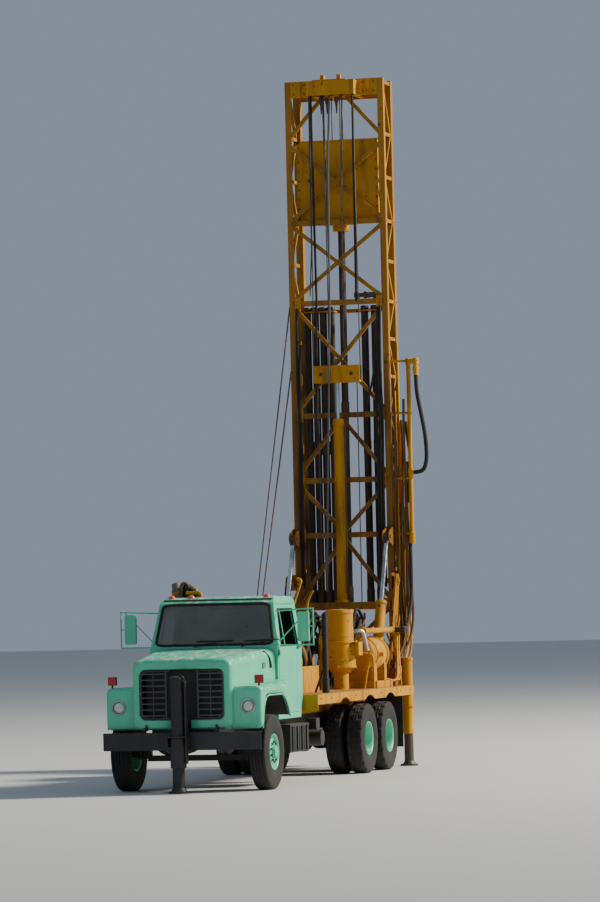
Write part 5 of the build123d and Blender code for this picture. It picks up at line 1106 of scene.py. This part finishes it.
def makeSeat():
    floor = 1.02
    base = [(-0.8, 0.8, 1.72, 2.06, floor, floor + 0.32)]
    boxes("seatBase", base, black, "truck", bevel=0.01)
    # each cushion is (half width, y middle, half depth, z middle, half height, lean)
    shapes = {"seatCushion": (0.82, 1.95, 0.25, floor + 0.395, 0.08, 0.0),
              "seatBack": (0.82, 2.185, 0.055, 1.755, 0.275, 0.05)}
    for name, (wide, y, deep, z, tall, lean) in shapes.items():
        work = bmesh.new()
        loops = []
        for i in range(65):
            across = -1 + 2 * i / 64
            seam = abs(math.sin(math.pi * (across + 1) * 4))
            puff = (1 - abs(across) ** 14) ** 0.5 * (0.86 + 0.14 * seam ** 0.4)
            loops.append([at(across * wide, y + a * deep * (0.4 + 0.6 * puff) + lean * b, z + b * tall * puff)
                          for a, b in roundedLoop(-1, 1, -1, 1, 0.45, corner=6, edge=6)])
        skin(work, loops, closeEnd=True, closeStart=True)
        bmesh.ops.remove_doubles(work, verts=work.verts, dist=1e-4)
        bmesh.ops.recalc_face_normals(work, faces=work.faces)
        cushion = meshPiece(name, work, vinyl, "truck", smooth=True)
        if name == "seatCushion":
            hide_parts("bench_seat")


# mast dressing
mastLook = {"front": 8.7, "feedY": 8.52, "headY": 8.83, "postFace": 0.833, "sheaves": (-0.255, 0.255),
            "sheaveZ": 6.3925, "crownZ": 11.082, "beams": (3.765, 4.665), "lineTop": 11.0}


def makeMastLines():
    # taut lines that run down the front of the mast, beside the ropes
    y = 8.615
    top = mastLook["lineTop"]
    dark = [[at(-0.372, y, top), at(-0.348, y, 7.63), at(-0.4, y, 5.41)],
            [at(0.335, y + 0.01, top), at(0.322, y + 0.01, 7.58)],
            [at(-0.415, 8.66, top), at(-0.43, 8.68, 8.45), at(-0.47, 8.68, 7.7)]]
    tubes("mastLines", dark[:2], 0.019, hoseRubber, "mast", soft=False)
    thin = [dark[2], [at(-0.155, y, top), at(-0.12, y, 7.62)],
            [at(0.15, y + 0.03, top), at(0.085, y + 0.02, 7.6)]]
    tubes("mastCables", thin, 0.011, rope, "mast", soft=False)
    grey = [[at(-0.05, 8.6, top), at(-0.045, 8.5, 10.5), at(-0.05, 8.405, 9.85), at(-0.07, 8.405, 7.4),
             at(-0.098, 8.405, 6.79), at(-0.129, 8.405, 5.77), at(-0.202, 8.42, 3.69),
             at(-0.235, 8.44, 2.84)]]
    tubes("frontCable", grey, 0.017, cableGrey, "mast")
    pipe = [[at(0.118, 8.455, 5.57), at(0.128, 8.448, 5.5), at(0.124, 8.445, 5.3), at(0.12, 8.44, 4.33),
             at(0.11, 8.44, 2.95), at(0.1, 8.5, 2.8)]]
    tubes("feedPipe", pipe, 0.015, steel, "mast")


def makeFeedGear():
    m = mastLook
    centre = at(0, m["feedY"], 0)
    barrel = [(2.665, 0.0), (2.665, 0.118), (2.7, 0.118), (2.705, 0.084), (5.555, 0.084), (5.56, 0.098),
              (5.6, 0.098), (5.606, 0.09), (5.65, 0.09), (5.66, 0.082), (5.662, 0.034), (5.64, 0.034)]
    bands = [([(z - 0.03, 0.084), (z - 0.03, 0.092), (z + 0.03, 0.092), (z + 0.03, 0.084)], centre, (0, 0, 1))
             for z in m["beams"]]
    tube = turned("feedBarrel", [(barrel, centre, (0, 0, 1))] + bands, yellow, "mast", count=56)
    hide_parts("feed_cylinder")
    arms = [(-0.06, 0.06, m["feedY"] + 0.078, m["front"] + 0.01, z - 0.03, z + 0.03) for z in m["beams"]]
    boxes("feedBarrelBrackets", arms, yellow, "mast")
    rod = [(2.83, 0.0), (2.83, 0.03), (6.3, 0.03), (6.3, 0.0)]
    shaft = turned("feedRodChrome", [(rod, centre, (0, 0, 1))], chrome, "feed", count=36)
    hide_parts("feed_block")
    y = m["feedY"]
    plates = [(-0.394, 0.394, y - 0.075, y - 0.059, 6.25, 6.535),
              (-0.394, 0.394, y + 0.059, y + 0.075, 6.25, 6.535),
              (-0.07, 0.07, y - 0.06, y + 0.06, 6.25, 6.35),
              (-0.394, -0.376, y - 0.06, y + 0.06, 6.25, 6.29),
              (0.376, 0.394, y - 0.06, y + 0.06, 6.25, 6.29),
              (-0.085, -0.065, y - 0.088, y - 0.075, 6.27, 6.515),
              (0.065, 0.085, y - 0.088, y - 0.075, 6.27, 6.515),
              (-0.32, -0.2, y - 0.082, y - 0.075, 6.365, 6.42),
              (0.2, 0.32, y - 0.082, y - 0.075, 6.365, 6.42)]
    boxes("feedBlockPlates", plates, yellow, "feed", bevel=0.004)
    wheels = []
    groove = [(-0.024, 0.0), (-0.024, 0.128), (-0.018, 0.128), (-0.008, 0.118), (0.008, 0.118),
              (0.018, 0.128), (0.024, 0.128), (0.024, 0.0)]
    pin = [(-0.092, 0.0), (-0.092, 0.022), (-0.086, 0.03), (-0.075, 0.032), (0.085, 0.03), (0.085, 0.0)]
    for x in m["sheaves"]:
        wheels.append((groove, at(x, y, m["sheaveZ"]), (0, 1, 0)))
        wheels.append((pin, at(x, y, m["sheaveZ"]), (0, 1, 0)))
    turned("feedBlockSheaves", wheels, steel, "feed", count=40)
    hook = [[at(0.0, y - 0.05, 6.52), at(0.0, y - 0.05, 6.64)],
            [at(-0.1, y - 0.02, 6.51), at(-0.1, y - 0.02, 6.6)]]
    tubes("feedBlockShackles", hook, 0.016, steel, "feed", soft=False)


def stretchPiece(name, data, material):
    data.materials.append(material)
    data.shade_smooth()
    piece = linked(name, data)
    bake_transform(piece)
    return piece


def stretchedRopes(name, pairs, start, end):
    # straight ropes between the mast and a moving body
    items = []
    for foot, head in pairs:
        far = (head - foot).length
        items.append(([(0, 0.0), (0, 0.0085), (far, 0.0085), (far, 0.0)], foot, head - foot))
    return stretchPiece(name, turnedMesh(name, items, 12), rope)


def makeHoistRopes():
    low, high, y = mastLook["sheaveZ"], mastLook["crownZ"], mastLook["feedY"]
    strands, tails, lifts = [], [], []
    for x in mastLook["sheaves"]:
        for side in (-1, 1):
            strands.append((at(x + side * 0.1363, y, low), at(x + side * 0.1083, y, high)))
    for sign in (-1, 1):
        tails.append((at(sign * 0.33, y, 2.665), at(sign * 0.33, y, 6.25)))
        lifts.append((at(sign * 0.09, 8.89, 10.267), at(sign * 0.09, 8.89, 10.97)))
    piece = stretchedRopes("hoistRopeStrands", strands, at(0, y, high), at(0, y, low))
    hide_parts("hoist_ropes")
    stretchedRopes("hoistRopeTails", tails, at(0, y, 2.665), at(0, y, 6.25))
    stretchedRopes("headRopes", lifts, at(0, 8.89, 10.97), at(0, 8.89, 10.267))


def makeMastExtras():
    # dark hoses down the inside of both posts, and the small winch on the upper beam
    lines = []
    for x, y, top, low in ((0.705, 8.665, 7.5, 2.9), (0.665, 8.655, 7.45, 3.1), (0.62, 8.67, 6.6, 2.95),
                           (-0.7, 8.66, 7.5, 2.95), (-0.665, 8.665, 6.9, 2.9)):
        lines.append([at(x, y, top), at(x - 0.02, y - 0.01, top - 1.1),
                      at(x + 0.015, y - 0.01, (top + low) / 2 + 0.4),
                      at(x - 0.015, y, (top + low) / 2 - 0.6), at(x, y, low)])
    tubes("mastInnerHoses", lines, 0.021, hoseRubber, "mast")
    curl = [[at(0.6, 8.66, 6.95), at(0.61, 8.65, 6.6), at(0.55, 8.64, 6.2), at(0.46, 8.65, 5.95),
             at(0.44, 8.66, 5.78)]]
    tubes("mastCurlHose", curl, 0.018, hoseRubber, "mast")
    drum = [(0.0, 0.0), (0.0, 0.046), (0.05, 0.05), (0.055, 0.034), (0.16, 0.034), (0.165, 0.06),
            (0.2, 0.06), (0.205, 0.042), (0.38, 0.042), (0.385, 0.054), (0.42, 0.054), (0.42, 0.0)]
    turned("levelWinch", [(drum, at(0.26, 8.765, 7.69), (1, 0, 0))], steel, "mast", count=28)
    feet = [(0.3, 0.34, 8.72, 8.79, 7.6, 7.66), (0.58, 0.62, 8.72, 8.79, 7.6, 7.66),
            (0.42, 0.52, 8.722, 8.788, 7.64, 7.73)]
    boxes("levelWinchFeet", feet, steel, "mast")


raiseLook = {"x": 0.785, "foot": (7.45, 1.42), "top": (8.45, 3.72)}


def makeRaiseGear():
    foot = at(0, *raiseLook["foot"])
    top = at(0, *raiseLook["top"])
    way = (top - foot).normalized()
    length = (top - foot).length
    spots = [foot + Vector((sign * raiseLook["x"], 0, 0)) for sign in (1, -1)]
    barrel = [(0.075, 0.0), (0.075, 0.03), (0.118, 0.04), (0.12, 0.0845), (0.145, 0.09), (0.17, 0.085),
              (1.295, 0.085), (1.298, 0.094), (1.345, 0.094), (1.36, 0.088), (1.361, 0.042), (1.34, 0.042)]
    rod = [(length - 1.22, 0.0), (length - 1.22, 0.038), (length - 0.1, 0.038), (length - 0.095, 0.044),
           (length - 0.045, 0.044)]
    rim = [(-0.035, 0.058), (-0.031, 0.062), (0.031, 0.062), (0.035, 0.058)]
    openEye = [(-0.035, 0.031)] + rim + [(0.035, 0.031), (-0.035, 0.031)]
    fullEye = [(-0.035, 0.0)] + rim + [(0.035, 0.0)]
    barrels, rods = [], []
    for spot in spots:
        barrels += [(barrel, spot, way), (openEye, spot, (1, 0, 0))]
        rods += [(rod, spot, way), (fullEye, spot + way * length, (1, 0, 0))]
    tubesMesh = turned("raiseBarrelTubes", barrels, yellow, "raise_barrels", count=48)
    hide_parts("raise_barrels")
    shafts = turned("raiseRodChrome", rods, chrome, "raise_rods", count=48)
    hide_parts("raise_rods")
    boss = [(-0.036, 0.0), (-0.036, 0.064), (-0.03, 0.069), (0.03, 0.069), (0.036, 0.064), (0.036, 0.0)]
    neck = [(length - 0.13, 0.0), (length - 0.13, 0.046), (length - 0.05, 0.052), (length - 0.05, 0.0)]
    knobs = []
    for spot in spots:
        knobs += [(boss, spot + top - foot, (1, 0, 0)), (neck, spot, way)]
    turned("raiseRodEyes", knobs, steel, "raise_rods", count=36)
    side = way.cross(Vector((1, 0, 0))).normalized()
    port = [(0.07, 0.022), (0.115, 0.022), (0.118, 0.016), (0.13, 0.0)]
    ports = [(port, spot + way * along, -side) for spot in spots for along in (0.22, 1.25)]
    turned("raiseBarrelPorts", ports, steel, "raise_barrels", count=20)


def makeRodEnds():
    joints = ([(7.485, 0.061), (7.49, 0.067), (7.53, 0.067), (7.54, 0.062), (7.54, 0.034), (7.5, 0.03)],
              [(2.642, 0.061), (2.645, 0.067), (2.86, 0.067), (2.88, 0.061)],
              [(5.1, 0.0605), (5.1, 0.066), (5.32, 0.066), (5.32, 0.0605)])
    items = [(rings, at(x, 9.13, 0), (0, 0, 1)) for x in (-0.645, -0.51, -0.375, -0.24, 0.33, 0.5)
             for rings in joints]
    turned("rodToolJoints", items, steel, "mast", count=28)
    items = [([(z, 0.05), (z, 0.068), (z + 0.24, 0.068), (z + 0.27, 0.0575)], at(0, 9.0, 0), (0, 0, 1))
             for z in (2.66, 5.7)]
    turned("drillPipeJoints", items, steel, "head", count=32)


def makeHeadTrim():
    y = mastLook["headY"]
    ribs = [(-0.69, -0.675, y - 0.012, y, 8.93, 10.25), (0.675, 0.69, y - 0.012, y, 8.93, 10.25),
            (-0.675, 0.675, y - 0.012, y, 10.235, 10.262), (-0.675, 0.675, y - 0.012, y, 8.92, 8.95),
            (-0.3, 0.3, y + 0.02, y + 0.1, 8.86, 8.92)]
    boxes("headPlateRibs", ribs, yellow, "head", bevel=0.003)
    bolts = [(at(x, y, 8.99 + 0.155 * i), (0, -1, 0), 0.014, 0.011) for i in range(9)
             for x in (-0.655, 0.655)]
    hexBolts("headPlateBolts", bolts, "head")
    hook = [[at(-0.5, y - 0.005, 9.62), at(-0.47, y - 0.03, 9.6), at(-0.44, y - 0.035, 9.55),
             at(-0.42, y - 0.02, 9.5), at(-0.4, y - 0.005, 9.53)]]
    tubes("headPlateHook", hook, 0.014, steel, "head")


def makeMastBolts():
    front, face = mastLook["front"], mastLook["postFace"]
    levels = (2.62, 3.765, 4.665, 5.73, 7.58, 8.9)
    bolts = []
    for z in levels:
        for sign in (1, -1):
            bolts += [(at(sign * dx, front, z + dz), (0, -1, 0), 0.012, 0.01)
                      for dx in (0.755, 0.7) for dz in (-0.02, 0.02)]
            bolts += [(at(sign * face, y, z), (sign, 0, 0), 0.012, 0.01) for y in (8.76, 9.27)]
    bolts += [(at(x, front - 0.01, z), (0, -1, 0), 0.014, 0.012)
              for x in (-0.68, -0.5, 0.5, 0.68) for z in (11.03, 11.18)]
    hexBolts("mastBolts", bolts, "mast")
    gussets = [(*sorted((sign * 0.735, sign * 0.64)), front - 0.006, front, z - 0.1, z + 0.1)
               for z in levels[:-1] for sign in (1, -1)]
    boxes("mastGussets", gussets, yellow, "mast", bevel=0)
    socket = [(0.0, 0.0), (0.0, 0.022), (0.05, 0.034), (0.11, 0.034), (0.16, 0.02), (0.3, 0.01),
              (0.32, 0.0)]
    hangers = [(socket, at(x, 8.64, 10.99), (0, 0, -1)) for x in (-0.1, 0.06, -0.2)]
    turned("crownSockets", hangers, steel, "mast", count=20)


def makeStandpipe():
    x, y, top, reach = 1.137, 8.76, 6.58, 0.125
    up = [(3.6, 0.0), (3.6, 0.048), (3.66, 0.052), (3.72, 0.048), (3.78, 0.052), (3.8, 0.036),
          (4.7, 0.034), (4.705, 0.046), (4.82, 0.046), (4.825, 0.034), (top - 0.06, 0.034),
          (top - 0.05, 0.046), (top + 0.03, 0.046), (top + 0.042, 0.036), (top + 0.044, 0.0)]
    across = [(-0.02, 0.0), (-0.02, 0.04), (0.03, 0.042), (0.035, 0.036), (0.05, 0.036), (0.055, 0.048),
              (0.085, 0.048), (0.09, 0.038), (reach, 0.038), (reach + 0.04, 0.034), (reach + 0.044, 0.0)]
    spout = [(-0.042, 0.0), (-0.042, 0.04), (0.0, 0.044), (0.02, 0.05), (0.05, 0.05), (0.055, 0.042),
             (0.1, 0.042), (0.105, 0.052), (0.15, 0.052), (0.155, 0.042), (0.2, 0.046), (0.235, 0.04),
             (0.238, 0.03)]
    low = [(0.0, 0.04), (0.02, 0.042), (0.025, 0.048), (0.045, 0.048), (0.052, 0.04), (0.053, 0.03)]
    items = [(up, at(x, y, 0), (0, 0, 1)), (across, at(x, y, top), (1, 0, 0)),
             (spout, at(x + reach, y, top), (0, 0, -1)), (low, at(x, y, 4.76), (1, 0, 0))]
    pipe = turned("standpipeTube", items, yellow, "mast", count=36)
    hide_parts("standpipe")
    arms = []
    for z in (3.765, 4.665, 5.73, top):
        arms.append((mastLook["postFace"], x + 0.045, y - 0.006, y + 0.006, z - 0.02, z + 0.02))
        arms.append((mastLook["postFace"], x + 0.04, y - 0.025, y + 0.025, z - 0.012, z))
    boxes("standpipeArms", arms, yellow, "mast", bevel=0.002)


def bentBetween(name, routes, radius, material, start, end, node=None):
    # bent lines with one end on the mast and the other on the truck
    curve = lineCurve(name + "Line", routes, radius, True, 3, 10)
    carrier = linked(name + "Line", curve)
    data = bpy.data.meshes.new_from_object(carrier.evaluated_get(bpy.context.evaluated_depsgraph_get()))
    data.materials.clear()
    bpy.data.objects.remove(carrier)
    bpy.data.curves.remove(curve)
    piece = stretchPiece(name, data, material)
    if node:
        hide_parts(node)


def makeMastHoses():
    routes = []
    for i, (x, y, top) in enumerate(((0.88, 8.83, 6.1), (0.935, 8.9, 5.6), (0.895, 9.0, 6.9),
                                     (0.96, 9.08, 4.9))):
        port = 1.4 + i * 0.045
        routes.append([at(x, y, top), at(x + 0.01, y, 5.2 - i * 0.1), at(x + 0.004, y, 3.9),
                       at(x, y - 0.01, 3.0), at(x + 0.02, y - 0.03, 2.45),
                       at(1.01 + i * 0.008, 8.72, 1.95 + i * 0.02), at(0.984, 8.43, port + 0.17),
                       at(0.984, 8.2, port), at(0.984, 7.99, port)])
    start, end = at(1.0, 8.8, 3.0), at(1.0, 8.4, 1.6)
    bentBetween("mastHosesYellow", routes, 0.02, yellow, start, end, "mast_hoses")
    more = []
    for i, (x, y, top, low) in enumerate(((0.915, 8.76, 4.65, 1.95), (0.965, 8.8, 3.72, 1.86),
                                          (1.0, 8.86, 4.2, 1.8), (1.045, 8.9, 3.5, 1.74),
                                          (0.905, 9.05, 5.4, 2.02))):
        more.append([at(x, y, top), at(x + 0.015, y - 0.01, top - 0.9), at(x - 0.01, y - 0.02, 2.6),
                     at(x + 0.05, y - 0.1, low + 0.15), at(x + 0.06 - 0.03 * i, y - 0.4, low - 0.22),
                     at(x - 0.06, y - 0.68, low - 0.08), at(x - 0.1, y - 0.82, low + 0.12)])
    bentBetween("mastHosesLoose", more, 0.017, yellow, start, end)
    brown = []
    for i in range(7):
        x, y, top = 0.885 + 0.032 * i, 8.72 + 0.035 * (i % 4), 6.3 - 0.34 * ((i * 3) % 7)
        sway = 0.03 * math.cos(2.1 * i)
        brown.append([at(x, y, top), at(x + sway, y, top - 0.8), at(x - sway, y + 0.01, 3.9 + 0.1 * i),
                      at(x + sway, y, 3.0), at(x + 0.04 + sway, y - 0.06, 2.45 - 0.05 * i),
                      at(1.05 - 0.02 * i, 8.5 - 0.03 * i, 1.62 + 0.05 * (i % 3)),
                      at(0.99, 8.2 - 0.04 * i, 1.66 + 0.05 * (i % 4)), at(0.975, 7.995, 1.52 + 0.03 * i)])
    bentBetween("mastHosesBrown", brown, 0.021, hoseBrown, start, end)
    dark = [[at(1.1, 8.78, 3.66), at(1.105, 8.78, 3.0), at(1.11, 8.7, 2.62), at(1.125, 8.4, 2.32),
             at(1.16, 8.14, 2.215), at(1.155, 8.0, 2.205)],
            [at(1.02, 8.95, 5.6), at(1.06, 8.95, 5.3), at(1.12, 8.94, 4.9), at(1.05, 8.93, 4.55),
             at(1.01, 8.92, 4.1), at(1.0, 8.9, 3.1), at(1.04, 8.75, 2.1), at(1.0, 8.4, 1.75)]]
    bentBetween("airHoseBlack", dark, 0.03, hoseRubber, start, end)


def makeStays():
    lines = []
    for high, y in ((7.54, 6.7), (6.48, 6.95)):
        foot = at(-1.13, y, 1.374)
        top = at(-0.843, 8.76, high)
        lines.append([foot, foot.lerp(top, 0.33), foot.lerp(top, 0.66), top])
    bentBetween("mastStayRopes", lines, 0.012, rope, at(-1.0, 8.7, 6.4), at(-1.13, 6.9, 1.5), "mast_stays")


makeCabTrim()
makeSeat()
print("cab trimmed")
makeMastLines()
makeFeedGear()
makeHoistRopes()
makeMastExtras()
makeRaiseGear()
makeRodEnds()
makeHeadTrim()
makeMastBolts()
makeStandpipe()
makeMastHoses()
makeStays()
print("mast dressed")


# floor and light
def makeStudio():
    data = bpy.data.meshes.new("floor")
    data.from_pydata([(-200, -200, 0), (200, -200, 0), (200, 200, 0), (-200, 200, 0)], [], [(0, 1, 2, 3)])
    floor = linked("floor", data)
    material, shader, _ = newMaterial("floorPale")
    feed(shader, {"Base Color": (0.6, 0.6, 0.58, 1), "Roughness": 0.9})
    data.materials.append(material)
    world = bpy.data.worlds.new("studio")
    bpy.context.scene.world = world
    world.use_nodes = True
    sky = world.node_tree.nodes["Background"]
    sky.inputs[0].default_value = (0.66, 0.8, 1.0, 1)
    sky.inputs[1].default_value = 0.36
    lights = {"key": ((42, 17, 30), 8, 56000, (1.0, 0.93, 0.8)),
              "fill": ((-14, -44, 18), 20, 900, (0.86, 0.94, 1.0))}
    for name, (place, size, power, colour) in lights.items():
        lamp = bpy.data.lights.new(name, "AREA")
        lamp.shape = "DISK"
        lamp.size = size
        lamp.energy = power
        lamp.color = colour
        holder = linked(name, lamp)
        holder.location = place
        aim = Vector((0, 0, 4.5)) - Vector(place)
        holder.rotation_euler = aim.to_track_quat("-Z", "Y").to_euler()


makeStudio()
print("studio set")
